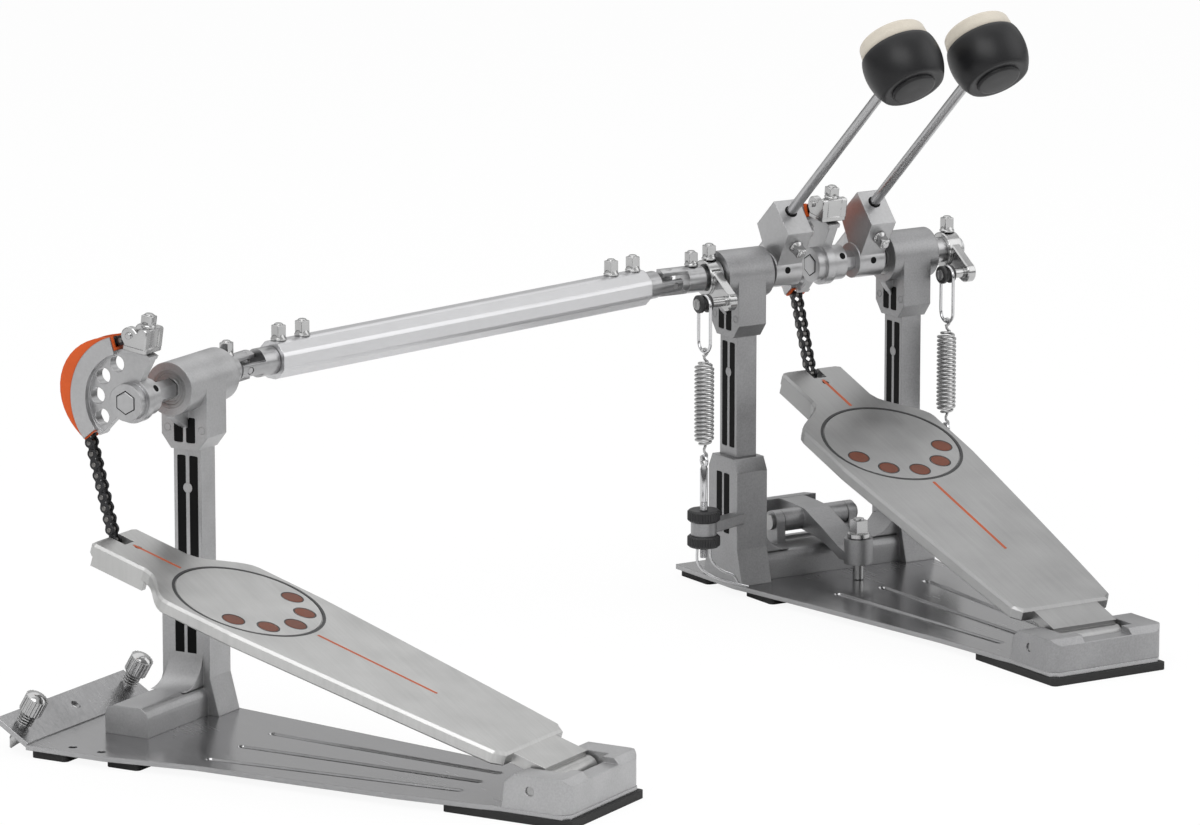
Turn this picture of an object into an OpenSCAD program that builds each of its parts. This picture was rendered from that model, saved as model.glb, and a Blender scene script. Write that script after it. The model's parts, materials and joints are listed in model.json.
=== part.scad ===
// Double bass drum pedal: a primary pedal with two beaters, a slave pedal,
// and a telescoping drive shaft with a universal joint at each end.
// X runs along the primary axle, +Y points at the drum, Z is up and the floor is Z = 0.

/* [Axle] */
// Height of both axles above the floor
axle_h = 200; // [190:1:215]
// Distance from the axle line back to the heel hinge
heel_back = 282; // [276:1:290]
// Height of the heel hinge
heel_z = 18.6; // [17:0.1:20]
// Turn of the slave pedal seen from above
slave_turn = 28; // [16:1:32]
// Length between the two universal joints
shaft_len = 358; // [330:1:400]
// Width across the flats of the hexagonal axle
hex_af = 11; // [10:0.2:11.6]
// Radius of the round bearing seats
journal_r = 5; // [4.5:0.1:5.2]

/* [Frame] */
// Thickness of the rubber soles
sole_t = 4.5; // [3.5:0.1:5.5]
// Thickness of the sheet steel base plates
sheet_t = 3; // [2.4:0.1:3.4]
// Distance from the board centre to the middle of an upright
upright_x = 61.5; // [60:0.5:66]
// Width of an upright along the axle
post_w = 14.5; // [13:0.5:17]
// Depth of an upright front to back
post_d = 18.5; // [16:0.5:20]
// Height of the cast foot towers above the floor
tower_h = 86; // [78:1:96]
// Outer radius of the bearing barrels
barrel_r = 15.5; // [15:0.1:17]
// Outer radius of the ball bearings
bearing_r = 11; // [10:0.1:12]
// Width of each ball bearing
bearing_w = 7; // [6:0.2:8]

/* [Footboard] */
// Half width of the board beside the ring
board_half = 49; // [47:0.5:51]
// Half width of the board at the heel
board_heel_half = 35; // [33:0.5:36]
// Half width of the neck at the toe
neck_half = 22.5; // [19:0.5:26]
// Distance from the heel hinge to the toe edge
board_len = 315; // [313:1:317]
// Thickness of the board
board_t = 8; // [7:0.1:8.5]
// Height of the board top above the heel hinge axis
board_rise = 9.9; // [9.4:0.1:10.4]
// Radius of the inlaid ring
ring_r = 43.8; // [38:0.2:44.5]
// Radius of the circle of dots
dot_circle = 32.3; // [28:0.2:33]

/* [Chain and cam] */
// Chain pitch
pitch = 6.35; // [6.2:0.05:6.5]
// Radius of the chain pitch line on the cam
cam_r = 35; // [34:0.2:36]
// Free links between the primary cam and its footboard
primary_links = 11; // [11]
// Free links between the slave cam and its footboard
slave_links = 13; // [13]

/* [Beaters] */
// Length of a beater from its lower tip to the middle of the head
beater_len = 213; // [190:1:225]
// Lean of the beaters back from upright
beater_lean = 48; // [42:1:52]
// Radius of the beater rod
rod_r = 3.2; // [3:0.1:4]
// Radius of the beater head
head_r = 24.2; // [22:0.2:26]
// Distance from the axle line to the beater rod
rod_offset = 20; // [18.5:0.5:21]
// Distance of each beater from the middle of the primary pedal
beater_x = 31; // [30:0.5:31]

/* [Springs] */
// Outer radius of the coil springs
spring_r = 6.3; // [5.6:0.1:6.6]
// Wire diameter of the coil springs
spring_wire = 1.7; // [1.4:0.1:1.75]
// Number of turns of each coil spring
spring_turns = 23; // [20:1:23]
// Length of the coiled body
spring_len = 50; // [50:1:52]
// Distance from the axle to the spring roller
rocker_r = 25; // [24:0.5:26]

/* [Hidden] */

plate_z = sole_t + sheet_t;
fit = 0.05;
fine = 64;
coarse = 32;

// Angle of a footboard that leaves a whole number of free links at rest
anchor_v = board_len - 6;
anchor_h = 2;
hinge_to_axle = norm([heel_back, axle_h - heel_z]);
anchor_reach = norm([anchor_v, anchor_h]);
function axle_gap(links) = norm([links * pitch, cam_r]);
function board_angle(links) = atan2(axle_h - heel_z, heel_back) - atan2(anchor_h, anchor_v)
    - acos((pow(hinge_to_axle, 2) + pow(anchor_reach, 2) - pow(axle_gap(links), 2))
        / (2 * hinge_to_axle * anchor_reach));
function anchor_at(links) = let (a = board_angle(links) + atan2(anchor_h, anchor_v))
    [-heel_back + anchor_reach * cos(a), heel_z + anchor_reach * sin(a)];
// Lean of the free chain from vertical towards the drum
function chain_lean(links) = let (p = anchor_at(links))
    asin(cam_r / axle_gap(links)) - atan2(p[0], axle_h - p[1]);
echo(primary_board_angle = board_angle(primary_links), slave_board_angle = board_angle(slave_links));
echo(primary_anchor = anchor_at(primary_links), slave_anchor = anchor_at(slave_links));
echo(primary_lean = chain_lean(primary_links), slave_lean = chain_lean(slave_links));

link_turn = 2 * asin(pitch / 2 / cam_r);
upper_links = 3;
lower_links = 2;
kept_links = 5;

// Housing, rocker and joint stations along the axle
barrel_len = 33;
barrel_in = upright_x - barrel_len / 2;
barrel_out = upright_x + barrel_len / 2;
slave_barrel_in = barrel_in - 9;
slave_barrel_out = barrel_out + 8;
hub_in = -8.8;
hub_out = 12.6;
hub_r = 10.8;
rocker_w = 10;
rocker_gap = 0.4;
joint_x = 114.5;
joint_r = 8.5;
fork_len = 12;
fork_tip = 6;
slave_joint_x = 112;
shaft_turn = slave_turn / 2;
shaft_dir = [cos(shaft_turn), sin(shaft_turn), 0];
primary_joint = [-joint_x, 0, axle_h];
slave_joint = primary_joint - shaft_len * shaft_dir;
slave_origin = [slave_joint[0] - slave_joint_x * cos(slave_turn),
    slave_joint[1] - slave_joint_x * sin(slave_turn), 0];
echo(slave_joint = slave_joint, slave_origin = slave_origin);

steel = [0.78, 0.79, 0.8];
dark_steel = [0.34, 0.34, 0.35];
cast_metal = [0.66, 0.66, 0.66];
board_metal = [0.74, 0.74, 0.74];
black = [0.09, 0.09, 0.09];
orange = [0.8, 0.35, 0.18];
cream = [0.86, 0.83, 0.76];

module in_slave() {
    translate(slave_origin) rotate([0, 0, slave_turn]) children();
}

// Side is "primary" or "slave"
module in_pedal(side) {
    if (side == "slave") in_slave() children();
    else children();
}

// An outline drawn as Y, Z and drawn out along X
module along_x(from, to) {
    translate([from, 0, 0]) rotate([90, 0, 90]) linear_extrude(to - from) children();
}

// An outline drawn as X, Z and drawn out along Y
module along_y(from, to) {
    translate([0, to, 0]) rotate([90, 0, 0]) linear_extrude(to - from) children();
}

module x_rod(from, to, r, sides = fine) {
    translate([from, 0, 0]) rotate([0, 90, 0]) cylinder(h = to - from, r = r, $fn = sides);
}

module y_rod(from, to, r, sides = fine) {
    translate([0, to, 0]) rotate([90, 0, 0]) cylinder(h = to - from, r = r, $fn = sides);
}

module on_axle() {
    translate([0, 0, axle_h]) children();
}

module hex_bar(from, to, af) {
    x_rod(from, to, af / sqrt(3), 6);
}

// A cylinder from the origin along a direction
module rod_along(dir, from, to, r, sides = coarse) {
    n = dir / norm(dir);
    rotate([0, acos(n[2]), atan2(n[1], n[0])]) translate([0, 0, from])
        cylinder(h = to - from, r = r, $fn = sides);
}

// One unbroken round wire swept along points, with square cut ends
function ring_frame(dir, up) = let (z = dir / norm(dir), x = cross(up, z), xn = x / norm(x))
    [xn, cross(z, xn)];
module swept_wire(points, r, up, sides = 6) {
    n = len(points);
    rings = [for (i = [0:n - 1])
        let (dir = points[min(i + 1, n - 1)] - points[max(i - 1, 0)],
            f = ring_frame(dir, up(i)))
        for (k = [0:sides - 1])
            points[i] + r * (cos(360 * k / sides) * f[0] + sin(360 * k / sides) * f[1])];
    walls = [for (i = [0:n - 2]) for (k = [0:sides - 1])
        let (a = i * sides + k, b = i * sides + (k + 1) % sides)
        each [[a, a + sides, b], [b, a + sides, b + sides]]];
    start = [for (k = [1:sides - 2]) [0, k, k + 1]];
    last = (n - 1) * sides;
    end = [for (k = [1:sides - 2]) [last, last + k + 1, last + k]];
    polyhedron(points = rings, faces = concat(walls, start, end));
}

// Coil points: a straight end, the turns, and a straight end; the axis is +Z
rings_per_turn = 8;
function coil_points(r, wire, turns, height) =
    let (steps = turns * rings_per_turn, lead = wire * 1.4)
    concat([[r, 0, -lead], [r, 0, -lead * 0.25]],
        [for (i = [1:steps - 1]) let (a = 360 * i / rings_per_turn)
            [r * cos(a), r * sin(a), height * i / steps]],
        [[r, 0, height + lead * 0.25], [r, 0, height + lead]]);
module coil(r, wire, turns, height) {
    points = coil_points(r, wire, turns, height);
    swept_wire(points, wire / 2, function(i) [0.001, 0.002, 1] + 0.7 * [cos(45 * i), sin(45 * i), 0]);
}
function coil_gap(wire, turns, height) = height / turns - wire;
echo(spring_gap = coil_gap(spring_wire, spring_turns, spring_len));

// Base plates, soles and heel blocks

plate_front = 52;
heel_end = 306;
heel_half = 41;
module plate_outline(left, right) {
    polygon([[-left, plate_front], [-left, -14], [-left + 9, -70], [-46, -197], [-heel_half + 1, -262],
        [-heel_half + 1, -heel_end + 4], [-heel_half + 5, -heel_end], [heel_half - 5, -heel_end],
        [heel_half - 1, -heel_end + 4], [heel_half - 1, -262], [46, -197], [right - 9, -70],
        [right, -14], [right, plate_front]]);
}

// Pressed grooves run from the casting to the heel and open into a shallow V
groove_depth = 1.2;
module plate_grooves() {
    for (x = [-33, 0, 33])
        hull() for (e = [[x, -70], [x * 0.66, -225]])
            translate([e[0], e[1], plate_z - groove_depth]) cylinder(h = 5, r1 = 2.2, r2 = 5.6, $fn = 24);
}

module base_plate(left, right) {
    difference() {
        translate([0, 0, sole_t]) linear_extrude(sheet_t) plate_outline(left, right);
        plate_grooves();
    }
}

module primary_base_plate() {
    color(steel) base_plate(upright_x + 12, upright_x + 12);
}

flange_angle = 31;
flange_len = 26;
flange_fold = 38;
spur_x = [-44, 64];
spur_seat = 15;
spur_r = 3.5;
module on_flange() {
    translate([0, flange_fold, sole_t]) rotate([flange_angle, 0, 0]) children();
}

module slave_base_plate() {
    color(steel) in_slave() difference() {
        union() {
            intersection() {
                base_plate(58, upright_x + 14);
                translate([-150, -400, 0]) cube([300, 400 + flange_fold, 30]);
            }
            intersection() {
                on_flange() translate([-56, 0, 0]) cube([upright_x + 68, flange_len, sheet_t]);
                translate([-150, flange_fold, sole_t]) cube([300, 60, 40]);
            }
        }
        for (p = [[-50, -8], [-49, 12]]) translate([p[0], p[1], 0]) cylinder(h = 20, r = 2.5, $fn = coarse);
        on_flange() for (x = spur_x)
            translate([x, spur_seat, -10]) cylinder(h = 30, r = spur_r + fit, $fn = fine);
        on_flange() translate([10, spur_seat, -10]) cylinder(h = 30, r = 3, $fn = coarse);
    }
}

module sole(x0, x1, y0, y1) {
    translate([(x0 + x1) / 2, (y0 + y1) / 2, 0]) linear_extrude(sole_t)
        for (sx = [-1, 1], sy = [-1, 1]) {
            translate([sx * ((x1 - x0) / 2 - 3), sy * ((y1 - y0) / 2 - 3)]) circle(r = 3, $fn = coarse);
            square([x1 - x0 - 6, y1 - y0], center = true);
            square([x1 - x0, y1 - y0 - 6], center = true);
        }
}

module primary_rubber_pads() {
    color(black) {
        for (s = [-1, 1]) {
            translate([s * (upright_x - 4), 0, 0]) sole(-13, 13, 20, plate_front);
            translate([s * (upright_x - 9), 0, 0]) sole(-14, 14, -46, -16);
        }
        sole(-24, 24, -15, 15);
        sole(-heel_half, heel_half, -heel_end - 2, -226);
    }
}

module slave_rubber_pads() {
    color(black) in_slave() {
        sole(-56, -34, 12, flange_fold - 2);
        sole(-52, -30, -34, -12);
        sole(upright_x - 13, upright_x + 13, -22, 22);
        sole(-heel_half, heel_half, -heel_end - 2, -226);
    }
}

// Heel block: a cast U that opens forwards, with a rod through its cheeks
heel_top = 27.2;
cheek_in = 25;
heel_pin_r = 2.6;
module heel_block() {
    side = [[-heel_end, plate_z], [-heel_end, heel_top - 4], [-heel_end + 4, heel_top],
        [-heel_back + 10, heel_top], [-heel_back + 16, heel_top - 5], [-heel_back + 18, plate_z]];
    color(cast_metal) difference() {
        intersection() {
            along_x(-heel_half, heel_half) polygon(side);
            translate([0, 0, plate_z]) linear_extrude(40) {
                translate([-heel_half, -heel_end + 8]) square([2 * heel_half, 90]);
                translate([-heel_half + 8, -heel_end]) square([2 * heel_half - 16, 20]);
                for (s = [-1, 1]) translate([s * (heel_half - 8), -heel_end + 8]) circle(r = 8, $fn = fine);
            }
        }
        translate([-cheek_in, -heel_back - 13, plate_z + 2.5]) cube([2 * cheek_in, 60, 60]);
        translate([-cheek_in, -heel_back + 10.5, 0]) cube([2 * cheek_in, 60, 60]);
        translate([0, -heel_back, heel_z]) x_rod(-60, 60, heel_pin_r + fit);
        translate([-17, -heel_end - 1, heel_top - 3.5]) cube([34, 20, 10]);
    }
}
module heel_pin() {
    color(steel) translate([0, -heel_back, heel_z]) {
        x_rod(-heel_half + 1, heel_half - 1, heel_pin_r);
    }
}

// Cast foot, uprights and bearings

bar_d = 29;
bar_h = 17;
tower_w = 22;
tower_d = 32;
fillet_r = 20;
slot_w = 3.4;
slot_depth = 1.6;

// Two long slots in each X face, with a round boss and cross bars left between them
module slots_both_sides(half_w, low, high, boss) {
    for (s = [-1, 1], y = [-3.6, 3.6])
        difference() {
            translate([s > 0 ? half_w - slot_depth : -half_w - 1, y - slot_w / 2, low])
                cube([slot_depth + 1, slot_w, high - low]);
            if (boss) translate([0, 0, (low + high) / 2]) {
                x_rod(-half_w, half_w, 3.4, coarse);
                for (z = [-9, 7]) translate([-half_w, -9, z]) cube([2 * half_w, 18, 2]);
            }
        }
}

module tower(x) {
    translate([x, 0, 0]) difference() {
        along_x(-tower_w / 2, tower_w / 2) polygon([[-tower_d / 2 - 6, plate_z], [-tower_d / 2, plate_z + 22],
            [-tower_d / 2, tower_h - 8], [-tower_d / 2 + 4, tower_h], [tower_d / 2 - 4, tower_h],
            [tower_d / 2, tower_h - 8], [tower_d / 2, plate_z + 22], [tower_d / 2 + 6, plate_z]]);
        slots_both_sides(tower_w / 2, 38, tower_h - 10, false);
    }
}

module bar_outline() {
    flat = bar_d / 2 - 7;
    polygon(concat([[-bar_d / 2, plate_z], [bar_d / 2, plate_z]],
        [for (a = [0:15:90]) [flat + 7 * cos(a), plate_z + bar_h - 7 + 7 * sin(a)]],
        [for (a = [90:15:180]) [-flat + 7 * cos(a), plate_z + bar_h - 7 + 7 * sin(a)]]));
}

// Concave corner between the bar and a tower, rising towards +X
module corner_fillet() {
    difference() {
        translate([-fillet_r, 0]) square([fillet_r + 1, fillet_r]);
        translate([-fillet_r, fillet_r]) circle(r = fillet_r, $fn = fine);
    }
}

tower_in = upright_x - tower_w / 2;
clamp_y = 10;
clamp_z = 37.5;
clamp_half = 23.6;
bracket_y = -23.7;
spring_left_x = -102;
spring_right_x = 78.5;
bracket_z = 44.5;
bracket_t = 8.5;
tension_rod_r = 2.5;
nut_r = 10.2;

module spring_bracket(from, to) {
    // An arm from the tower to a ring round the tension rod
    difference() {
        union() {
            translate([to, bracket_y, bracket_z]) cylinder(h = bracket_t, r = 8, $fn = fine);
            hull() {
                translate([to, bracket_y, bracket_z + 1]) cylinder(h = bracket_t - 2, r = 5, $fn = coarse);
                translate([from, -12, bracket_z + 1]) cylinder(h = bracket_t - 2, r = 4, $fn = coarse);
            }
        }
        translate([to, bracket_y, 0]) cylinder(h = 100, r = tension_rod_r + fit, $fn = fine);
    }
}

module primary_foot_casting() {
    color(cast_metal) difference() {
        union() {
            along_x(-upright_x, upright_x) bar_outline();
            for (s = [-1, 1]) tower(s * upright_x);
            for (s = [0, 1]) mirror([s, 0, 0])
                along_y(-bar_d / 2 + 3, bar_d / 2 - 3) translate([tower_in, plate_z + bar_h]) corner_fillet();
            spring_bracket(-upright_x - tower_w / 2 + 5, spring_left_x);
            spring_bracket(upright_x + tower_w / 2 - 5, spring_right_x);
            // Ears of the hoop clamp, and the ledge that the hoop stands on
            for (s = [-1, 1]) translate([s * (clamp_half + 3.3) - 3, 0, 0]) along_x(0, 6) {
                translate([clamp_y, clamp_z]) circle(r = 7, $fn = fine);
                translate([clamp_y - 7, plate_z]) square([14, clamp_z - plate_z]);
            }
            translate([-clamp_half - 6, 0, plate_z]) cube([2 * clamp_half + 12, 46, 11]);
        }
        translate([0, clamp_y, clamp_z]) x_rod(-50, 50, 3 + fit);
        // Step in the ledge that keeps the hoop from sliding
        translate([-60, 20, plate_z + 9]) cube([120, 22, 10]);
    }
}

module slave_foot_casting() {
    color(cast_metal) in_slave() union() {
        along_x(-12, upright_x) bar_outline();
        tower(upright_x);
        along_y(-bar_d / 2 + 3, bar_d / 2 - 3) translate([tower_in, plate_z + bar_h]) corner_fillet();
    }
}

block_w = 20;
block_d = 31;
block_z = axle_h - 38;
module upright(x, from, to) {
    difference() {
        union() {
            translate([x - post_w / 2, -post_d / 2, tower_h]) cube([post_w, post_d, block_z - tower_h + 2]);
            translate([x, 0, 0]) along_x(-block_w / 2, block_w / 2) polygon([[-block_d / 2, block_z + 8],
                [-post_d / 2, block_z], [post_d / 2, block_z], [block_d / 2, block_z + 8],
                [block_d / 2, axle_h], [-block_d / 2, axle_h]]);
            on_axle() x_rod(from, to, barrel_r);
            // Webs that carry the barrel where it overhangs the block
            along_y(-3, 3) polygon([[from + 1, axle_h], [from + 1, axle_h - barrel_r - 1],
                [x - block_w / 2 + 1, block_z + 12], [x + block_w / 2 - 1, block_z + 12],
                [to - 1, axle_h - barrel_r - 1], [to - 1, axle_h]]);
        }
        on_axle() {
            x_rod(from - 1, to + 1, bearing_r - 1.6);
            x_rod(from - 1, from + bearing_w, bearing_r + fit);
            x_rod(to - bearing_w, to + 1, bearing_r + fit);
        }
        translate([x, 0, 0]) {
            slots_both_sides(post_w / 2, tower_h + 6, block_z - 4, true);
            slots_both_sides(block_w / 2, block_z + 4, block_z + 18, false);
        }
    }
}

module primary_uprights() {
    color(cast_metal) {
        upright(upright_x, barrel_in, barrel_out);
        upright(-upright_x, -barrel_out, -barrel_in);
    }
}

module slave_upright() {
    color(cast_metal) in_slave() upright(upright_x, slave_barrel_in, slave_barrel_out);
}

// Sealed ball bearing: two races with a recessed shield between them
module bearing(from) {
    on_axle() difference() {
        x_rod(from, from + bearing_w, bearing_r);
        x_rod(from - 1, from + bearing_w + 1, journal_r + fit);
        for (x = [from - 1, from + bearing_w - 0.4]) difference() {
            x_rod(x, x + 1.4, bearing_r - 1.8);
            x_rod(x - 1, x + 3, journal_r + 1.6);
        }
    }
}

module primary_bearings() {
    color(steel) for (x = [barrel_in, barrel_out - bearing_w]) {
        bearing(x);
        bearing(-x - bearing_w);
    }
}

module slave_bearings() {
    color(steel) in_slave() for (x = [slave_barrel_in, slave_barrel_out - bearing_w]) bearing(x);
}

module primary_heel_block() {
    heel_block();
}
module slave_heel_block() {
    in_slave() heel_block();
}
module primary_pins() {
    heel_pin();
    color(steel) translate([0, clamp_y, clamp_z]) {
        x_rod(-clamp_half - 6.4, clamp_half + 6.4, 3);
        for (s = [0, 1]) mirror([s, 0, 0]) x_rod(clamp_half + 6.4, clamp_half + 8.4, 5);
    }
}
module slave_heel_pin() {
    in_slave() heel_pin();
}

// Footboards

function blend(t) = (1 - cos(180 * min(max(t, 0), 1))) / 2;
ring_v = board_len - 96;
flare_from = ring_v + 24;
flare_to = ring_v + 58;
heel_edge = 24;
function board_half_at(v) =
    v < ring_v - 20 ? board_heel_half + (board_half - board_heel_half) * pow((v - heel_edge)
        / (ring_v - 20 - heel_edge), 0.85)
    : v < flare_from ? board_half
    : neck_half + (board_half - neck_half) * (1 - blend((v - flare_from) / (flare_to - flare_from)));
edge_v = concat([heel_edge, 30], [for (v = [50:25:ring_v - 25]) v], [ring_v - 20, flare_from],
    [for (v = [flare_from + 4:4:flare_to - 3]) v], [flare_to, board_len - 3, board_len]);
function edge_inset(v) = v == heel_edge ? 4 : v == board_len ? 3 : 0;
function board_ring(inset, h) = let (
    right = [for (v = edge_v) let (w = min(max(v, heel_edge + inset), board_len - inset))
        [board_half_at(v) - edge_inset(v) - inset, w, h]])
    concat(right, [for (i = [len(right) - 1:-1:0]) [-right[i][0], right[i][1], h]]);

// A solid skinned through closed rings of points that run up in Z
module skinned(rings) {
    n = len(rings[0]);
    walls = [for (i = [0:len(rings) - 2]) for (k = [0:n - 1])
        let (a = i * n + k, b = i * n + (k + 1) % n)
        each [[a, a + n, b], [b, a + n, b + n]]];
    half = n / 2;
    top = (len(rings) - 1) * n;
    // Both caps are ladders between mirrored points of the outline
    caps = [for (k = [0:half - 2]) let (p = k, q = k + 1, r = n - 1 - k, s = n - 2 - k)
        each [[p, q, r], [q, s, r], [top + p, top + r, top + q], [top + q, top + r, top + s]]];
    polyhedron(points = [for (r = rings) each r], faces = concat(walls, caps));
}

edge_bevel = 1.6;
groove_w = 1.5;
inlay_t = 0.6;
module board_solid() {
    skinned([board_ring(1, board_rise - board_t), board_ring(0, board_rise - board_t + 1),
        board_ring(0, board_rise - edge_bevel), board_ring(edge_bevel, board_rise)]);
}

tongue_half = 23;
module on_board(side) {
    in_pedal(side) translate([0, -heel_back, heel_z])
        rotate([board_angle(side == "slave" ? slave_links : primary_links), 0, 0]) children();
}

dot_step = 36.2;
dot_long = 7.6;
dot_wide = 5.2;
module dots(grow, height) {
    for (i = [-2:2]) translate([0, ring_v, 0]) rotate([0, 0, -i * dot_step]) translate([0, -dot_circle, 0])
        translate([0, 0, board_rise - height]) cylinder(h = height, r = 6.4 + grow, $fn = fine);
}
module stripes(grow, height) {
    for (v = [[ring_v - 129, ring_v - 47.5], [ring_v + 47.5, board_len - 15]])
        translate([-0.9 - grow, v[0] - grow, board_rise - height])
            cube([1.8 + 2 * grow, v[1] - v[0] + 2 * grow, height]);
}

chain_slot = 4.6;
lug_half = 1.5;
module footboard(side) {
    color(board_metal) on_board(side) difference() {
        union() {
            difference() {
                board_solid();
                // Hollow underside with ribs left standing
                for (v = [44, 96, 148, 200]) for (s = [-1, 1])
                    translate([s > 0 ? 3 : -3 - (v > 190 ? 32 : 24), v, -5])
                        cube([v > 190 ? 32 : 24, v > 190 ? 40 : 46, 5 + board_rise - 3.5]);
                // Slot for the chain end
                translate([-chain_slot, anchor_v - 6.5, -20]) cube([2 * chain_slot, 40, 60]);
            }
            // Skirts under the neck
            for (x = [-neck_half, neck_half - 4]) translate([x, flare_to - 2, board_rise - board_t - 5])
                cube([4, board_len - flare_to - 2, 7]);
            // Lug that carries the chain pin
            translate([-lug_half, anchor_v - 8, -1]) cube([2 * lug_half, 8, 5]);
            translate([0, anchor_v, anchor_h]) x_rod(-lug_half, lug_half, 3, coarse);
            // Heel tongue and its hinge barrel
            translate([-tongue_half, 3, board_rise - board_t + 0.5]) cube([2 * tongue_half, 26, board_t - 2]);
            x_rod(-tongue_half, tongue_half, 6.4);
        }
        x_rod(-60, 60, heel_pin_r + fit);
        translate([0, anchor_v, anchor_h]) x_rod(-5, 5, pin_r + fit, coarse);
        // Groove of the ring, and seats of the dots and stripes
        translate([0, ring_v, board_rise - inlay_t]) difference() {
            cylinder(h = 5, r = ring_r, $fn = 96);
            translate([0, 0, -1]) cylinder(h = 7, r = ring_r - groove_w, $fn = 96);
        }
        dots(0, inlay_t);
        stripes(0, inlay_t);
        translate([0, anchor_v - 12.5, -20]) cylinder(h = 60, r = 2.2, $fn = coarse);
    }
}

module board_inlays(side) {
    on_board(side) {
        color(orange) {
            dots(-0.02, inlay_t - 0.02);
            stripes(-0.02, inlay_t - 0.02);
        }
    }
}

module primary_footboard() {
    footboard("primary");
}
module slave_footboard() {
    footboard("slave");
}
module primary_board_inlays() {
    board_inlays("primary");
}
module slave_board_inlays() {
    board_inlays("slave");
}

// Roller chain

link_h = 5.8;
plate_thick = 0.8;
inner_x = 1.6;
outer_x = 2.45;
pin_r = 1.15;
bush_r = 1.75;

module link_plates(x) {
    for (s = [-1, 1]) translate([s > 0 ? x : -x - plate_thick, 0, 0]) {
        for (v = [0, pitch]) translate([0, 0, v]) x_rod(0, plate_thick, link_h / 2, coarse);
        translate([0, -link_h / 2 + 0.7, 0]) cube([plate_thick, link_h - 1.4, pitch]);
    }
}

// A link from the origin up to one pitch along Z; a pin may be left out at its top
module outer_link(top_pin = true) {
    link_plates(outer_x);
    for (v = top_pin ? [0, pitch] : [0]) translate([0, 0, v]) x_rod(-3.9, 3.9, pin_r, coarse);
}
module inner_link() {
    difference() {
        union() {
            link_plates(inner_x);
            for (v = [0, pitch]) translate([0, 0, v]) x_rod(-inner_x, inner_x, bush_r, coarse);
        }
        for (v = [0, pitch]) translate([0, 0, v]) x_rod(-3, 3, pin_r + fit, coarse);
    }
}

function links_of(side) = side == "slave" ? slave_links : primary_links;

module chain_drop(side) {
    n = links_of(side);
    p = anchor_at(n);
    color(dark_steel) in_pedal(side) translate([0, p[0], p[1]]) rotate([-chain_lean(n), 0, 0])
        for (i = [1:n]) translate([0, 0, (i - 1) * pitch]) {
            if (i % 2 == 1) outer_link(i < n);
            else inner_link();
        }
}

// Links that lie on the cam, counted from the point where the chain leaves it
module chain_on_cam(side, first, last) {
    n = links_of(side);
    color(dark_steel) in_pedal(side) on_axle()
        for (i = [first:last]) let (a = -chain_lean(n) + (i - 1) * link_turn)
            translate([0, cam_r * cos(a), cam_r * sin(a)]) rotate([a + link_turn / 2, 0, 0]) {
                if (i % 2 == 0) outer_link();
                else inner_link();
            }
}

module primary_chain_drop() {
    chain_drop("primary");
}
module slave_chain_drop() {
    chain_drop("slave");
}
module primary_chain_lower() {
    chain_on_cam("primary", 1, lower_links);
}
module slave_chain_lower() {
    chain_on_cam("slave", 1, lower_links);
}
module primary_chain_upper() {
    chain_on_cam("primary", lower_links + 1, lower_links + upper_links);
}
module slave_chain_upper() {
    chain_on_cam("slave", lower_links + 1, lower_links + upper_links);
}

// Cams: a sector wheel with windows, and a track round its rim

wheel_r = 30;
wheel_half = 3;
window_r = 4.7;
window_circle = 22.5;
window_step = 31.7;
flange_r = 38;
flange_t = 1.3;
track_floor = 31.6;
track_half = 6.4;
sector_low = -46;
sector_high = 118;

module sector(r, low, high) {
    polygon(concat([[0, 0]], [for (a = [low:(high - low) / 24:high]) r * [cos(a), sin(a)]]));
}

module cam(side) {
    color(cast_metal) in_pedal(side) on_axle() difference() {
        union() {
            x_rod(hub_in, hub_out, hub_r);
            along_x(-wheel_half, wheel_half) {
                intersection() {
                    circle(r = wheel_r, $fn = 96);
                    sector(60, sector_low, sector_high);
                }
                circle(r = hub_r + 2, $fn = fine);
            }
            // Raised rim and hub shoulder
            along_x(-wheel_half - 1.2, wheel_half + 1.2) difference() {
                intersection() {
                    circle(r = wheel_r, $fn = 96);
                    sector(60, sector_low, sector_high);
                }
                circle(r = wheel_r - 2.4, $fn = 96);
            }
            // Side flange over the track, and the rim that carries it
            for (r = [[wheel_r, -wheel_half - 1], [flange_r, -track_half - 0.06]])
                along_x(-track_half - flange_t, r[1]) difference() {
                    intersection() {
                        circle(r = r[0], $fn = 96);
                        sector(60, track_low + 1, track_high - 1);
                    }
                    circle(r = wheel_r - 2, $fn = 96);
                }
        }
        for (i = [0:3]) rotate([-29 + i * window_step, 0, 0]) translate([0, window_circle, 0])
            x_rod(-20, 20, window_r);
        hex_bar(-40, 40, hex_af + 2 * fit);
        translate([2, 0, 0]) cylinder(h = 20, r = 2.1, $fn = coarse);
    }
}

// The outer lip swells towards the drum
function lip_r(a) = cam_r + 3.3 + 8.2 * pow(max(cos(1.6 * (a - 15)), 0), 1.3);
track_low = -40;
track_high = 74;
function lip_points(out, in) = concat(
    [for (a = [track_low:6:track_high]) out(a) * [cos(a), sin(a)]],
    [for (a = [track_high:-6:track_low]) in * [cos(a), sin(a)]]);

module cam_track(side) {
    color(orange) in_pedal(side) on_axle() {
        along_x(-track_half, track_half)
            polygon(lip_points(function(a) track_floor, wheel_r + fit));
        for (x = [-track_half, track_half - 1.8]) along_x(x, x + 1.8)
            polygon(lip_points(function(a) lip_r(a), wheel_r + fit));
    }
}

module primary_cam() {
    cam("primary");
}
module slave_cam() {
    cam("slave");
}
module primary_cam_track() {
    cam_track("primary");
}
module slave_cam_track() {
    cam_track("slave");
}

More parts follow.
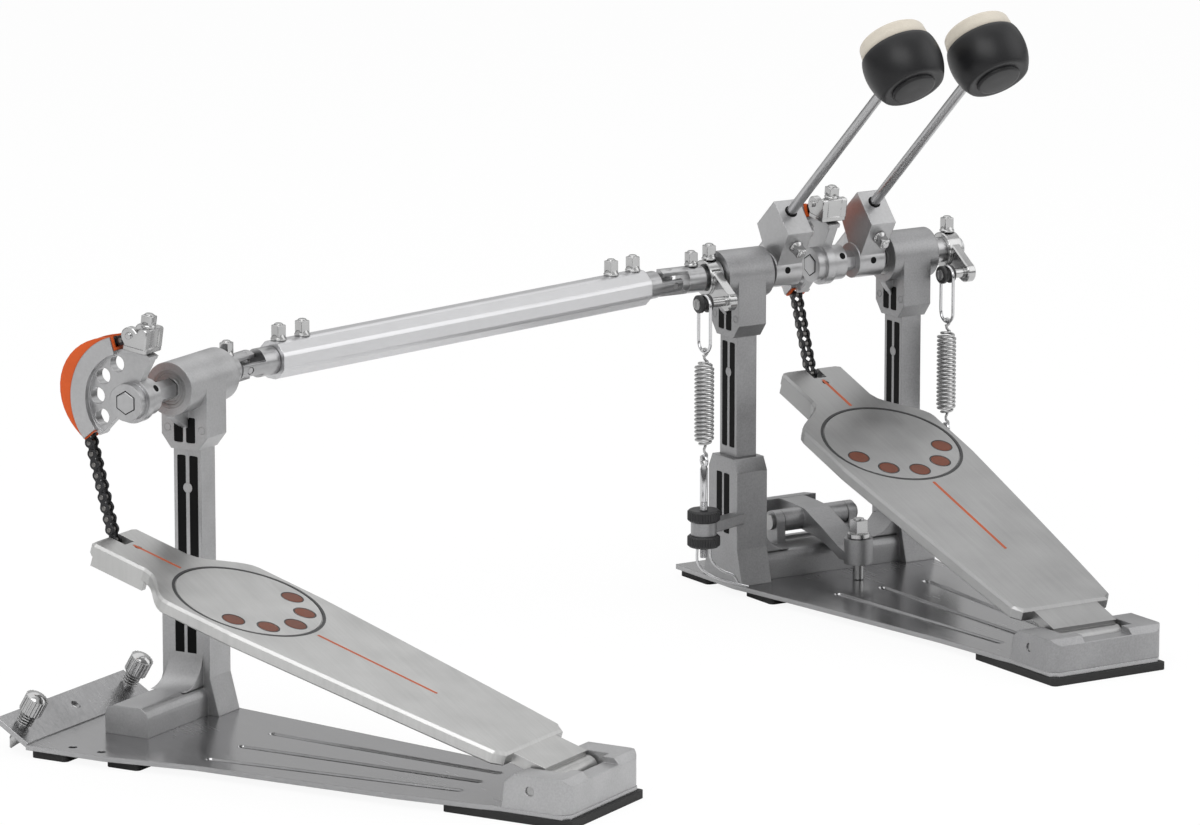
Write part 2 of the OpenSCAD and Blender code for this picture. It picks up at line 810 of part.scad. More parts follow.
// Clamp that holds the top end of the chain on the cam, and the links that never unwrap
clamp_angle = 98;
module chain_clamp(side) {
    chain_on_cam(side, lower_links + upper_links + 1, lower_links + upper_links + kept_links);
    color(steel) in_pedal(side) on_axle() rotate([clamp_angle - 90, 0, 0]) {
        difference() {
            union() {
                translate([-9, -9, wheel_r + 0.05]) cube([18, 15, 3]);
                for (s = [-1, 1]) translate([s > 0 ? 4.6 : -9, -9, wheel_r + 2]) cube([4.4, 15, 10]);
                translate([-9, -9, cam_r + 5]) cube([18, 9, 4]);
            }
            translate([0, -4, 0]) cylinder(h = 60, r = 2.05, $fn = coarse);
        }
        translate([0, 2.5, cam_r + 3.9]) x_rod(-10.4, 10.4, 1.9, coarse);
        // Square headed clamp bolt
        translate([0, -4, cam_r + 9]) key_bolt_head(3.4, 6, 4.4);
        translate([0, -4, cam_r + 3.4]) cylinder(h = 6, r = 2, $fn = coarse);
    }
}
module primary_chain_clamp() {
    chain_clamp("primary");
}
module slave_chain_clamp() {
    chain_clamp("slave");
}

// Square drum key head on a round flange, standing on Z = 0
module key_bolt_head(half, high, flange) {
    cylinder(h = 2, r = flange, $fn = coarse);
    translate([-half, -half, 1]) cube([2 * half, 2 * half, high]);
    translate([0, 0, high + 0.5]) cylinder(h = 1.6, r = half * 0.8, $fn = coarse);
}

// Axles and universal joints

phase = 13;
ear_in = 5.4;
ear_half = 3.7;
cross_r = 1.9;
cross_slack = 0.45;

// A fork along +X whose ears stand along +Z and -Z, its cross centre at the origin
module fork(root, slack) {
    difference() {
        union() {
            x_rod(-root, -fork_len + 0.01, joint_r);
            intersection() {
                x_rod(-fork_len - 1, fork_tip, joint_r);
                for (s = [-1, 1]) translate([-fork_len - 2, -ear_half, s > 0 ? ear_in : -joint_r - 1])
                    cube([fork_len + fork_tip + 3, 2 * ear_half, joint_r + 1 - ear_in]);
            }
        }
        translate([0, 0, -20]) cylinder(h = 40, r = cross_r + slack, $fn = coarse);
    }
}

// Cross of a joint whose other shaft leaves at an angle in the level plane
module joint_cross(bend) {
    p1 = [0, -sin(phase), cos(phase)];
    b = [cos(bend), sin(bend), 0];
    p2 = cross(b, p1) / norm(cross(b, p1));
    for (s = [-1, 1]) {
        rod_along(s * p1, 0, joint_r - 0.3, cross_r);
        rod_along(s * p2, 0, joint_r - 0.3, cross_r);
    }
    rod_along(p1, -3.4, 3.4, 3.4);
}

left_end = -beater_x + 9;
module left_axle() {
    color(steel) on_axle() {
        hex_bar(-barrel_in + 0.6, left_end, hex_af);
        x_rod(-barrel_out - 16, -barrel_in + 1, journal_r);
    }
    color(dark_steel) translate(primary_joint) mirror([1, 0, 0]) {
        rotate([phase, 0, 0]) fork(joint_x - barrel_out - 12.4, fit);
        joint_cross(-shaft_turn);
    }
}

module primary_axle() {
    color(steel) on_axle() {
        hex_bar(hub_in, barrel_in - 0.6, hex_af);
        x_rod(barrel_in - 1, rocker_right + rocker_w + 1, journal_r);
        x_rod(barrel_out + 0.3, rocker_right - 0.1, journal_r + 3);
        x_rod(rocker_right + rocker_w + 0.1, rocker_right + rocker_w + 4, journal_r + 1.6);
    }
}

module slave_axle() {
    color(steel) in_slave() on_axle() {
        hex_bar(hub_in, slave_barrel_in - 0.6, hex_af);
        x_rod(slave_barrel_in - 1, slave_joint_x - fork_len - 1, journal_r);
        x_rod(slave_barrel_out + 0.4, slave_barrel_out + 7, journal_r + 3.4);
    }
    color(dark_steel) in_slave() translate([slave_joint_x, 0, axle_h]) {
        rotate([phase, 0, 0]) fork(slave_joint_x - slave_barrel_out - 8, fit);
        joint_cross(-shaft_turn);
    }
}

module along_shaft(from) {
    translate(slave_joint) rotate([0, 0, shaft_turn]) translate([from, 0, 0]) children();
}

tube_af = 22;
tube_start = 24;
tube_end = shaft_len - 24;
shank_r = 7;
module drive_tube() {
    color(steel) along_shaft(0) difference() {
        intersection() {
            rotate([22.5, 0, 0]) x_rod(tube_start, tube_end, tube_af / 2 / cos(22.5), 8);
            x_rod(tube_start, tube_end, tube_af / 2 / cos(22.5) - 0.45, 96);
        }
        x_rod(0, shaft_len, shank_r + fit);
        for (x = tube_bolts) translate([x, 0, 0]) cylinder(h = 30, r = 3 + fit, $fn = coarse);
    }
}
tube_bolts = [tube_start + 6, tube_start + 25, tube_end - 25, tube_end - 6];
module drive_tube_bolts() {
    color(steel) along_shaft(0) for (x = tube_bolts) translate([x, 0, tube_af / 2]) {
        key_bolt_head(3.2, 8, 4.7);
        translate([0, 0, -3.4]) cylinder(h = 4, r = 3, $fn = coarse);
    }
}

module shaft_yoke(shank) {
    rotate([0, 0, 180]) rotate([90 - phase, 0, 0]) fork(tube_start - 0.4, cross_slack);
    x_rod(tube_start - 2, tube_start + shank, shank_r);
}
slave_shank = 0.2 * shaft_len;
primary_shank = 0.36 * shaft_len;
module slave_side_yoke() {
    color(dark_steel) along_shaft(0) shaft_yoke(slave_shank);
}
module primary_side_yoke() {
    color(dark_steel) along_shaft(shaft_len) rotate([0, 0, 180]) mirror([0, 1, 0])
        shaft_yoke(primary_shank);
}

// Beater holders, rods, heads and felts

below = 18;

// Moves to the foot of the perpendicular from the axle to the rod, with +Z up the rod
module on_rod(x) {
    translate([x, rod_offset * cos(beater_lean), axle_h + rod_offset * sin(beater_lean)])
        rotate([beater_lean, 0, 0]) children();
}

holder_half = 9;
holder_low = 9;
holder_top = 34;
holder_in = 16;
holder_out = 8.5;
holder_foot_y = -rod_offset - 5;
holder_foot_z = 6.2;
holder_tilt = atan2(-holder_foot_y - holder_in, holder_top - holder_foot_z);
holder_bolt_z = 24;
holder_bolt_y = -holder_in - (holder_top - holder_bolt_z) * tan(holder_tilt);
holder_bolt_r = 2.5;

// Moves on to the slanted face towards the heel, with +Z pointing out of it
module on_holder_face() {
    translate([0, holder_bolt_y, holder_bolt_z]) rotate([90 - holder_tilt, 0, 0]) children();
}
module beater_holder(x) {
    color(cast_metal) difference() {
        union() {
            on_axle() x_rod(x - holder_half - 0.6, x + holder_half + 0.6, 11);
            on_rod(x) along_x(-holder_half, holder_half) polygon([[-holder_in, holder_top],
                [holder_out, holder_top], [holder_out, holder_low], [-rod_offset + 7, holder_low - 5],
                [-rod_offset + 3, -7.4], [holder_foot_y, holder_foot_z]]);
        }
        on_rod(x) translate([0, 0, -40]) cylinder(h = 100, r = rod_r + fit, $fn = fine);
        on_axle() hex_bar(x - 30, x + 30, hex_af + 2 * fit);
        on_rod(x) on_holder_face() translate([0, 0, holder_bolt_y])
            cylinder(h = rod_offset * 2, r = holder_bolt_r + fit, $fn = coarse);
    }
}
module right_beater_holder() {
    beater_holder(beater_x);
}
module left_beater_holder() {
    beater_holder(-beater_x);
}

module beater_rod(x) {
    color(steel) on_rod(x) {
        translate([0, 0, -below]) cylinder(h = beater_len - head_r + 1, r = rod_r, $fn = fine);
    }
}

head_up = beater_len - below;
// Profile of the head, turned round the axis that points at the drum
module beater_head(x) {
    waist = head_r * 0.72;
    color(black) on_rod(x) translate([0, 0, head_up]) difference() {
        rotate([-90, 0, 0]) rotate_extrude($fn = 72) polygon(concat(
            [[0, -head_r * 0.78], [head_r * 0.52, -head_r * 0.78], [head_r * 0.56, -head_r * 0.74],
                [head_r * 0.56, -head_r * 0.7], [head_r * 0.62, -head_r * 0.7]],
            [for (a = [-42, -36, -30, -24, -18, -12, 12, 18, 24, 30])
                [head_r * (0.26 + 0.74 * cos(a)), head_r * sin(a) * 1.02]],
            [[head_r * 0.84, head_r * 0.58], [0, head_r * 0.58]]));
        translate([0, 0, -head_r - 4]) cylinder(h = 14.8, r = rod_r + fit, $fn = fine);
    }
}
module beater_felt(x) {
    color(cream) on_rod(x) translate([0, 0, head_up]) rotate([-90, 0, 0]) rotate_extrude($fn = 72)
        polygon(concat([[0, head_r * 0.58], [head_r * 0.8, head_r * 0.58]],
            [for (a = [0:15:75]) [head_r * (0.66 + 0.16 * cos(a)), head_r * (0.66 + 0.16 * sin(a))]],
            [[0, head_r * 0.84]]));
}
module right_beater_rod() {
    beater_rod(beater_x);
}
module left_beater_rod() {
    beater_rod(-beater_x);
}
module right_beater_head() {
    beater_head(beater_x);
}
module left_beater_head() {
    beater_head(-beater_x);
}
module right_beater_felt() {
    beater_felt(beater_x);
}
module left_beater_felt() {
    beater_felt(-beater_x);
}

// Spring rockers, with the roller on the side away from the drum

rocker_angle = 206.5;
rocker_right = barrel_out + rocker_gap + 11;
roller_y = rocker_r * cos(rocker_angle);
roller_z = rocker_r * sin(rocker_angle);
roller_r = 5.6;
roller_groove = 4;
module spring_rocker(from, spring_x) {
    color(steel) on_axle() {
        difference() {
            union() {
                x_rod(from, from + rocker_w, 11);
                translate([from + 2, 0, 0]) hull() {
                    x_rod(0, 6, 9.5, coarse);
                    translate([0, roller_y, roller_z]) x_rod(0, 6, 6.2, coarse);
                }
            }
            x_rod(from - 5, from + 30, journal_r + fit);
            translate([from + rocker_w / 2, 0, 0]) cylinder(h = 20, r = 3 + fit, $fn = coarse);
        }
    }
    // Roller on its screw
    color(black) on_axle() translate([0, roller_y, roller_z]) {
        for (edge = [-4.5, 1.5]) x_rod(spring_x + edge, spring_x + edge + 3, roller_r);
        x_rod(spring_x - 4, spring_x + 4, roller_groove);
        x_rod(spring_x + 4, from + 3, 3, coarse);
    }
}
module right_spring_rocker() {
    spring_rocker(rocker_right, spring_right_x);
}
module left_spring_rocker() {
    spring_rocker(-barrel_out - rocker_gap - rocker_w, spring_left_x);
}

module key_bolt_on(x, r) {
    on_axle() translate([x, 0, r]) {
        key_bolt_head(3.2, 8, 4.7);
        translate([0, 0, -r + journal_r + 0.2]) cylinder(h = r - journal_r, r = 3, $fn = coarse);
    }
}
module holder_bolt(x) {
    shank = (-holder_bolt_y - rod_r - 0.1) / cos(holder_tilt) - holder_bolt_r * tan(holder_tilt);
    on_rod(x) on_holder_face() {
        key_bolt_head(3, 7, 4.4);
        translate([0, 0, -shank]) cylinder(h = shank + 0.1, r = holder_bolt_r, $fn = coarse);
    }
}
module primary_axle_bolts() {
    color(steel) {
        key_bolt_on(rocker_right + rocker_w / 2, 11);
        holder_bolt(beater_x);
    }
}
module left_axle_bolts() {
    color(steel) {
        key_bolt_on(-barrel_out - rocker_gap - rocker_w / 2, 11);
        holder_bolt(-beater_x);
    }
}

// Springs, hooks, tension rods and nuts

hook_top = axle_h + roller_z + roller_groove + 0.25;
cap_t = 1.4;
wire_r = 1;
leg_y = 6.6;
coil_top = 152;
coil_low = coil_top - spring_len;
coil_mid_r = spring_r - spring_wire / 2;
lead = spring_wire * 1.4;

module bent_corner(r) {
    rotate_extrude(angle = 90, $fn = coarse) translate([r, 0]) circle(r = wire_r, $fn = 24);
}

// A stirrup that hangs on the roller and carries the top cap of the spring
module spring_hook(x) {
    corner = 3.6;
    low = coil_top + lead + cap_t + 3;
    color(steel) translate([x, bracket_y, 0]) {
        translate([0, 0, hook_top + wire_r]) y_rod(-leg_y + corner, leg_y - corner, wire_r, 24);
        for (s = [0, 1]) mirror([0, s, 0]) {
            translate([0, leg_y - corner, hook_top + wire_r - corner])
                rotate([90, 0, 90]) bent_corner(corner);
            translate([0, leg_y, low + corner])
                cylinder(h = hook_top + wire_r - 2 * corner - low, r = wire_r, $fn = 24);
            translate([0, leg_y - corner, low + corner])
                mirror([0, 0, 1]) rotate([90, 0, 90]) bent_corner(corner);
        }
        translate([0, 0, low]) y_rod(-leg_y + corner, leg_y - corner, wire_r, 24);
        translate([0, 0, coil_top + lead]) cylinder(h = cap_t, r = spring_r, $fn = coarse);
        translate([0, 0, coil_top + lead + 0.5]) cylinder(h = 4, r = wire_r + 0.4, $fn = coarse);
    }
}
module left_spring_hook() {
    spring_hook(spring_left_x);
}
module right_spring_hook() {
    spring_hook(spring_right_x);
}
module spring(x) {
    color(steel) translate([x, bracket_y, coil_low]) coil(coil_mid_r, spring_wire, spring_turns, spring_len);
}
module left_spring() {
    spring(spring_left_x);
}
module right_spring() {
    spring(spring_right_x);
}

module spring_tension_rods() {
    eye_z = coil_low - lead - cap_t - 7.4;
    color(steel) for (x = [spring_left_x, spring_right_x]) translate([x, bracket_y, 0]) {
        translate([0, 0, 30]) cylinder(h = eye_z - 33.4, r = tension_rod_r, $fn = coarse);
        translate([0, 0, eye_z]) rotate([90, 0, 0]) rotate_extrude($fn = coarse)
            translate([3.4, 0]) circle(r = 1.3, $fn = 24);
        translate([0, 0, eye_z + 4.4]) rotate([0, 90, 0]) rotate_extrude($fn = coarse)
            translate([2.6, 0]) circle(r = wire_r, $fn = 24);
        translate([0, 0, coil_low - lead - cap_t]) cylinder(h = cap_t, r = spring_r, $fn = coarse);
    }
}

nut_t = 7.4;
knurls = 30;
module knurled_nut() {
    difference() {
        linear_extrude(nut_t) polygon([for (i = [0:2 * knurls - 1]) let (a = 180 * i / knurls,
            r = nut_r - (i % 2) * 0.7) r * [cos(a), sin(a)]]);
        translate([0, 0, -1]) cylinder(h = nut_t + 2, r = tension_rod_r + fit, $fn = fine);
    }
}
module spring_tension_nuts() {
    color(black) for (x = [spring_left_x, spring_right_x], z = [bracket_z - nut_t, bracket_z + bracket_t])
        translate([x, bracket_y, z]) knurled_nut();
}

// Hoop clamp: a curved lever on a pin between the ears, with a bolt that bears on the plate

boss_y = -43;
boss_r = 9;
lever_half = 9;
boss_low = 18;
boss_high = 34;
module hoop_clamp_lever() {
    arm = [[boss_y, boss_high - 9], [boss_y + 10, boss_high - 6], [-16, 36],
        [clamp_y - 6, 44.5], [clamp_y + 6, 45.5], [30, 46], [46, 44], [46, 33.6], [40, 33.6],
        [37, 37], [24, 38.5], [clamp_y + 5, 31.5],
        [clamp_y - 4, 30.8], [-14, 28.2], [-26, 24], [boss_y + 8, boss_low + 2], [boss_y, boss_low + 2]];
    color(cast_metal) difference() {
        union() {
            along_x(-lever_half, lever_half) polygon(arm);
            translate([0, clamp_y, clamp_z]) x_rod(-clamp_half, clamp_half, 7);
            // Wide jaw
            along_x(-19, 19) polygon([[33, 45.8], [46, 44], [46, 33.6], [40, 33.6], [37, 37], [33, 37.5]]);
            translate([0, boss_y, boss_low]) cylinder(h = boss_high - boss_low, r = boss_r, $fn = fine);
        }
        translate([0, clamp_y, clamp_z]) x_rod(-50, 50, 3 + fit);
        translate([0, boss_y, 0]) cylinder(h = 100, r = 3.5 + fit, $fn = fine);
    }
}
module hoop_clamp_bolt() {
    color(steel) translate([0, boss_y, 0]) {
        translate([0, 0, plate_z + 0.5]) cylinder(h = boss_high - plate_z, r = 3.5, $fn = fine);
        translate([0, 0, boss_high + 0.3]) {
            cylinder(h = 2.6, r = 7, $fn = fine);
            key_bolt_head(4, 10, 5.6);
        }
    }
}

// Floor spurs: knurled thumb screws through the turned up flange

spur_drop = (sole_t + spur_seat * sin(flange_angle) - 0.4) / cos(flange_angle);
module spur(x) {
    color(steel) in_slave() on_flange() translate([x, spur_seat, 0]) {
        cylinder(h = 20, r = spur_r, $fn = fine);
        translate([0, 0, -spur_drop + 6]) cylinder(h = spur_drop - 5, r = spur_r, $fn = fine);
        translate([0, 0, -spur_drop]) cylinder(h = 6.1, r1 = 0.6, r2 = spur_r, $fn = coarse);
        difference() {
            translate([0, 0, 13]) cylinder(h = 10, r = 6.8, $fn = fine);
            for (i = [0:19]) rotate([0, 0, 18 * i]) translate([7.1, 0, 12])
                cylinder(h = 12, r = 0.7, $fn = 16);
        }
        intersection() {
            translate([0, 0, 17]) sphere(r = 8.6, $fn = 48);
            translate([0, 0, 22.9]) cylinder(h = 4, r = 6.4, $fn = fine);
        }
    }
}
module floor_spur_left() {
    spur(spur_x[0]);
}
module floor_spur_right() {
    spur(spur_x[1]);
}
module spur_springs() {
    spur_wire = 1;
    color(steel) in_slave() on_flange() for (x = spur_x)
        translate([x, spur_seat, sheet_t + spur_wire * 1.4]) coil(spur_r + 1.2, spur_wire, 4, 7);
}

primary_base_plate();
primary_rubber_pads();
primary_foot_casting();
primary_uprights();
primary_bearings();
primary_heel_block();
primary_pins();
spring_tension_rods();
spring_tension_nuts();
hoop_clamp_lever();
hoop_clamp_bolt();
primary_footboard();
primary_board_inlays();
primary_axle();
primary_cam();
primary_cam_track();
primary_chain_clamp();
right_beater_holder();
right_spring_rocker();
primary_axle_bolts();
primary_chain_upper();
primary_chain_lower();
primary_chain_drop();
right_beater_rod();
right_beater_head();
right_beater_felt();
left_axle();
left_beater_holder();
left_spring_rocker();
left_axle_bolts();
left_beater_rod();
left_beater_head();
left_beater_felt();
left_spring();
right_spring();
left_spring_hook();
right_spring_hook();
slave_base_plate();
slave_rubber_pads();
slave_foot_casting();
slave_upright();
slave_bearings();
slave_heel_block();
slave_heel_pin();
floor_spur_left();
floor_spur_right();
spur_springs();
slave_footboard();
slave_board_inlays();
slave_axle();
slave_cam();
slave_cam_track();
slave_chain_clamp();
slave_chain_upper();
slave_chain_lower();
slave_chain_drop();
drive_tube();
drive_tube_bolts();
slave_side_yoke();
primary_side_yoke();
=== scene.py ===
"""Looks of a double bass drum pedal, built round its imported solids."""
import json
import math

import bmesh
import bpy
from mathutils import Matrix, Vector


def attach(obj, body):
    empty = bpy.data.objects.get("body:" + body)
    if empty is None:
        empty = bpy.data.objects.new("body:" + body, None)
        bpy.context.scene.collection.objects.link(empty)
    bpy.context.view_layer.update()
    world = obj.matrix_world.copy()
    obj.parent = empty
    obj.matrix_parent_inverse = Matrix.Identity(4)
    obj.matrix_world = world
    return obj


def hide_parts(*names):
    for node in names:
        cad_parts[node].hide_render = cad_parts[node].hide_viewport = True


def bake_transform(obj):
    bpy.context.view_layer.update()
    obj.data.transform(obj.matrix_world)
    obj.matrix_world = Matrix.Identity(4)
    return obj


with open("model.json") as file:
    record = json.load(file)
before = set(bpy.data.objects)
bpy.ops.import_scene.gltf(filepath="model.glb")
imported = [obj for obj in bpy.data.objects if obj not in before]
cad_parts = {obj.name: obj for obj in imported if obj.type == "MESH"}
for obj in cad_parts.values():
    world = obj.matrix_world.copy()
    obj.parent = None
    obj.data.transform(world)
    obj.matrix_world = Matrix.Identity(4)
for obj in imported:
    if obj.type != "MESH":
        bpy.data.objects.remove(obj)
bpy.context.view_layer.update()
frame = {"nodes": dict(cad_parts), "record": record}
nodes = frame["nodes"]
node_body = {n: b for b, ns in frame["record"]["behaviour"]["bodies"].items() for n in ns}
node_slot = {s["node"]: s["material_slot"] for s in frame["record"]["subparts"]}

MM = 0.001

# Camera, fitted to points of the photograph: metres, degrees, and millimetres for the lens
CAMERA_PLACE = (-2.4594, -3.6468, 1.0288)
CAMERA_AZIMUTH, CAMERA_ELEVATION = -32.094, 12.011
CAMERA_LENS, CAMERA_SENSOR, CAMERA_SHIFT = 216.24, 36.0, (0.01131, 0.01585)
CAMERA_NEAR, CAMERA_FAR = 0.1, 40.0

camera = bpy.data.objects.new("camera", bpy.data.cameras.new("camera"))
bpy.context.scene.collection.objects.link(camera)
camera.location = CAMERA_PLACE
azimuth, elevation = math.radians(CAMERA_AZIMUTH), math.radians(CAMERA_ELEVATION)
back = Vector((math.sin(azimuth) * math.cos(elevation), -math.cos(azimuth) * math.cos(elevation),
               math.sin(elevation)))
camera.rotation_mode = "QUATERNION"
camera.rotation_quaternion = (-back).to_track_quat("-Z", "Y")
camera.data.lens, camera.data.sensor_width = CAMERA_LENS, CAMERA_SENSOR
camera.data.shift_x, camera.data.shift_y = CAMERA_SHIFT
camera.data.clip_start, camera.data.clip_end = CAMERA_NEAR, CAMERA_FAR
bpy.context.scene.camera = camera
bpy.context.scene.view_settings.view_transform = "Standard"


# Materials

# Noise values mostly lie in this range and are spread from it
NOISE_LOW, NOISE_HIGH = 0.3, 0.7
PATCH_DETAIL, GRAIN_DETAIL = 4.0, 2.0
PATCH_SHARE, GRAIN_SHARE = 0.55, 0.45
BEVEL_SAMPLES = 4


def node_tree(name):
    material = bpy.data.materials.new(name)
    material.use_nodes = True
    tree = material.node_tree
    return material, tree, tree.nodes["Principled BSDF"]


def noise(tree, scale, detail, stretch=(1, 1, 1)):
    """A noise texture in the object's own frame, stretched along an axis where asked."""
    place = tree.nodes.new("ShaderNodeTexCoord")
    mapping = tree.nodes.new("ShaderNodeMapping")
    mapping.vector_type = "TEXTURE"
    mapping.inputs["Scale"].default_value = stretch
    texture = tree.nodes.new("ShaderNodeTexNoise")
    texture.inputs["Scale"].default_value = scale
    texture.inputs["Detail"].default_value = detail
    tree.links.new(place.outputs["Object"], mapping.inputs["Vector"])
    tree.links.new(mapping.outputs["Vector"], texture.inputs["Vector"])
    return texture.outputs["Fac"]


def spread(tree, value, low, high):
    """Maps a noise value on to a range."""
    node = tree.nodes.new("ShaderNodeMapRange")
    node.inputs["From Min"].default_value, node.inputs["From Max"].default_value = NOISE_LOW, NOISE_HIGH
    node.inputs["To Min"].default_value, node.inputs["To Max"].default_value = low, high
    tree.links.new(value, node.inputs["Value"])
    return node.outputs["Result"]


def tint(tree, value, dark, light):
    """A colour between two, led by a value from 0 to 1."""
    node = tree.nodes.new("ShaderNodeMix")
    node.data_type = "RGBA"
    node.inputs["A"].default_value, node.inputs["B"].default_value = (*dark, 1), (*light, 1)
    tree.links.new(value, node.inputs["Factor"])
    return node.outputs["Result"]


def surface(name, colour, vary, rough, metallic, grain, depth=0.0, patch=45.0, stretch=(1, 1, 1),
            edge=0.0, sheen=0.0, relief=0.5, gloss=0.5):
    """A finish whose colour and gloss vary in wide patches and a fine grain.

    The grain also stands out as relief where it has a depth, and edge rounds the rims in the shading.
    """
    material, tree, shader = node_tree(name)
    patches = noise(tree, patch, PATCH_DETAIL)
    fine = noise(tree, grain, GRAIN_DETAIL, stretch)
    mixed = tree.nodes.new("ShaderNodeMath")
    mixed.operation = "MULTIPLY_ADD"
    tree.links.new(patches, mixed.inputs[0])
    mixed.inputs[1].default_value = PATCH_SHARE
    scaled = tree.nodes.new("ShaderNodeMath")
    scaled.operation = "MULTIPLY"
    scaled.inputs[1].default_value = GRAIN_SHARE
    tree.links.new(fine, scaled.inputs[0])
    tree.links.new(scaled.outputs[0], mixed.inputs[2])
    value = mixed.outputs[0]
    dark = tuple(c * (1 - vary) for c in colour)
    light = tuple(min(1.0, c * (1 + vary)) for c in colour)
    tree.links.new(tint(tree, spread(tree, value, 0, 1), dark, light), shader.inputs["Base Color"])
    tree.links.new(spread(tree, value, rough[0], rough[1]), shader.inputs["Roughness"])
    shader.inputs["Metallic"].default_value = metallic
    shader.inputs["Specular IOR Level"].default_value = gloss
    shader.inputs["Sheen Weight"].default_value = sheen
    target = shader.inputs["Normal"]
    if depth:
        bump = tree.nodes.new("ShaderNodeBump")
        bump.inputs["Strength"].default_value = relief
        bump.inputs["Distance"].default_value = depth
        tree.links.new(fine, bump.inputs["Height"])
        tree.links.new(bump.outputs["Normal"], target)
        target = bump.inputs["Normal"]
    if edge:
        worn = tree.nodes.new("ShaderNodeBevel")
        worn.samples = BEVEL_SAMPLES
        worn.inputs["Radius"].default_value = edge
        tree.links.new(worn.outputs["Normal"], target)
    return material


cast_slave = surface("cast_slave", (0.40, 0.40, 0.405), 0.16, (0.34, 0.5), 0.85, 900, 0.00012, edge=0.0009)
cast_main = surface("cast_main", (0.30, 0.30, 0.305), 0.18, (0.34, 0.5), 0.85, 900, 0.00012, edge=0.0009)
polished = surface("cast_polished", (0.42, 0.42, 0.425), 0.1, (0.3, 0.4), 0.92, 500, 0.00004,
                   edge=0.0007, relief=0.15)
board_slave = surface("board_slave", (0.47, 0.47, 0.465), 0.1, (0.3, 0.42), 0.85, 700, 0.00006,
                      stretch=(1, 30, 30), edge=0.0006)
board_main = surface("board_main", (0.33, 0.33, 0.33), 0.1, (0.3, 0.42), 0.85, 700, 0.00006,
                     stretch=(1, 30, 30), edge=0.0006)
sheet = surface("sheet", (0.36, 0.36, 0.365), 0.12, (0.16, 0.3), 0.95, 500, 0.00003, patch=18,
                stretch=(1, 18, 1), edge=0.0006)
chrome = surface("chrome", (0.54, 0.54, 0.55), 0.06, (0.08, 0.1), 1.0, 60, edge=0.0005)
bolt = surface("bolt_chrome", (0.43, 0.43, 0.43), 0.08, (0.13, 0.18), 1.0, 90, edge=0.0005)
wire = surface("spring_wire", (0.42, 0.42, 0.42), 0.12, (0.28, 0.34), 1.0, 400)
turned = surface("turned_steel", (0.33, 0.33, 0.33), 0.15, (0.28, 0.36), 0.95, 500, edge=0.0004)
yoke = surface("yoke_steel", (0.37, 0.37, 0.375), 0.1, (0.28, 0.33), 1.0, 300, edge=0.0005)
axle = surface("axle_steel", (0.42, 0.42, 0.425), 0.08, (0.28, 0.32), 1.0, 300, edge=0.0005)
ground = surface("ground_steel", (0.43, 0.43, 0.435), 0.04, (0.28, 0.31), 1.0, 300, edge=0.0004)
# Near-black: the real black of the slot liners and set screws, and painted shade in the countersinks, in the
# gaps round the axle ends and in the bearings' gaps
black_and_painted_shade = surface("slot_black_and_painted_shade", (0.004, 0.004, 0.0042), 0.3, (0.7, 0.85), 0.0, 900, 0.00006, gloss=0.15)
tube_skin = surface("tube_silver", (0.57, 0.57, 0.58), 0.04, (0.28, 0.33), 0.85, 600,
                    stretch=(30, 1, 1), edge=0.0006)
chain_skin = surface("chain_black", (0.035, 0.035, 0.037), 0.35, (0.28, 0.45), 0.8, 700, 0.00004,
                     edge=0.0003)
pin_skin = surface("chain_pin", (0.16, 0.155, 0.15), 0.2, (0.25, 0.4), 0.9, 700, 0.00003)
rubber = surface("rubber", (0.012, 0.012, 0.012), 0.3, (0.6, 0.8), 0.0, 800, 0.0001, edge=0.0006)
black = surface("black_paint", (0.012, 0.012, 0.013), 0.3, (0.35, 0.5), 0.0, 900, 0.00006, edge=0.0005)
head = surface("head_black", (0.010, 0.010, 0.011), 0.3, (0.34, 0.46), 0.0, 1400, 0.00003, gloss=0.3)
pad = surface("track_orange", (0.56, 0.088, 0.016), 0.08, (0.38, 0.5), 0.0, 700, 0.00004,
              edge=0.0004, gloss=0.25)
inlay = surface("inlay_orange", (0.36, 0.066, 0.016), 0.18, (0.35, 0.5), 0.0, 900, 0.00005, gloss=0.3)
dot_skin = surface("inlay_dots", (0.115, 0.028, 0.011), 0.35, (0.35, 0.5), 0.0, 1100, 0.00006, gloss=0.3)
felt = surface("felt", (0.56, 0.515, 0.44), 0.08, (0.85, 0.95), 0.0, 1500, 0.0004, sheen=0.2, relief=0.8)

FINISH = {
    "sheet_steel": sheet, "rubber_sole": rubber, "cast_grey": cast_main, "cast_light": cast_slave,
    "bearing_steel": turned, "black_knurl": black, "bolt_chrome": bolt, "board_grey": board_main,
    "board_light": board_slave, "inlay_orange": inlay, "track_orange": pad, "axle_chrome": axle,
    "chain_steel": chain_skin, "rod_steel": chrome, "head_black": head, "felt_cream": felt,
    "spring_steel": wire, "tube_silver": tube_skin, "yoke_steel": yoke,
}
POLISHED = ("right_beater_holder", "left_beater_holder", "primary_cam", "slave_cam")
for name, thing in nodes.items():
    thing.data.materials.clear()
    thing.data.materials.append(polished if name in POLISHED else FINISH[node_slot[name]])


# Frames of the pedals and the shaft: sizes are in millimetres and degrees, the matrices in metres

def move(x, y, z):
    return Matrix.Translation((x * MM, y * MM, z * MM))


def turn(axis, degrees):
    return Matrix.Rotation(math.radians(degrees), 4, axis)


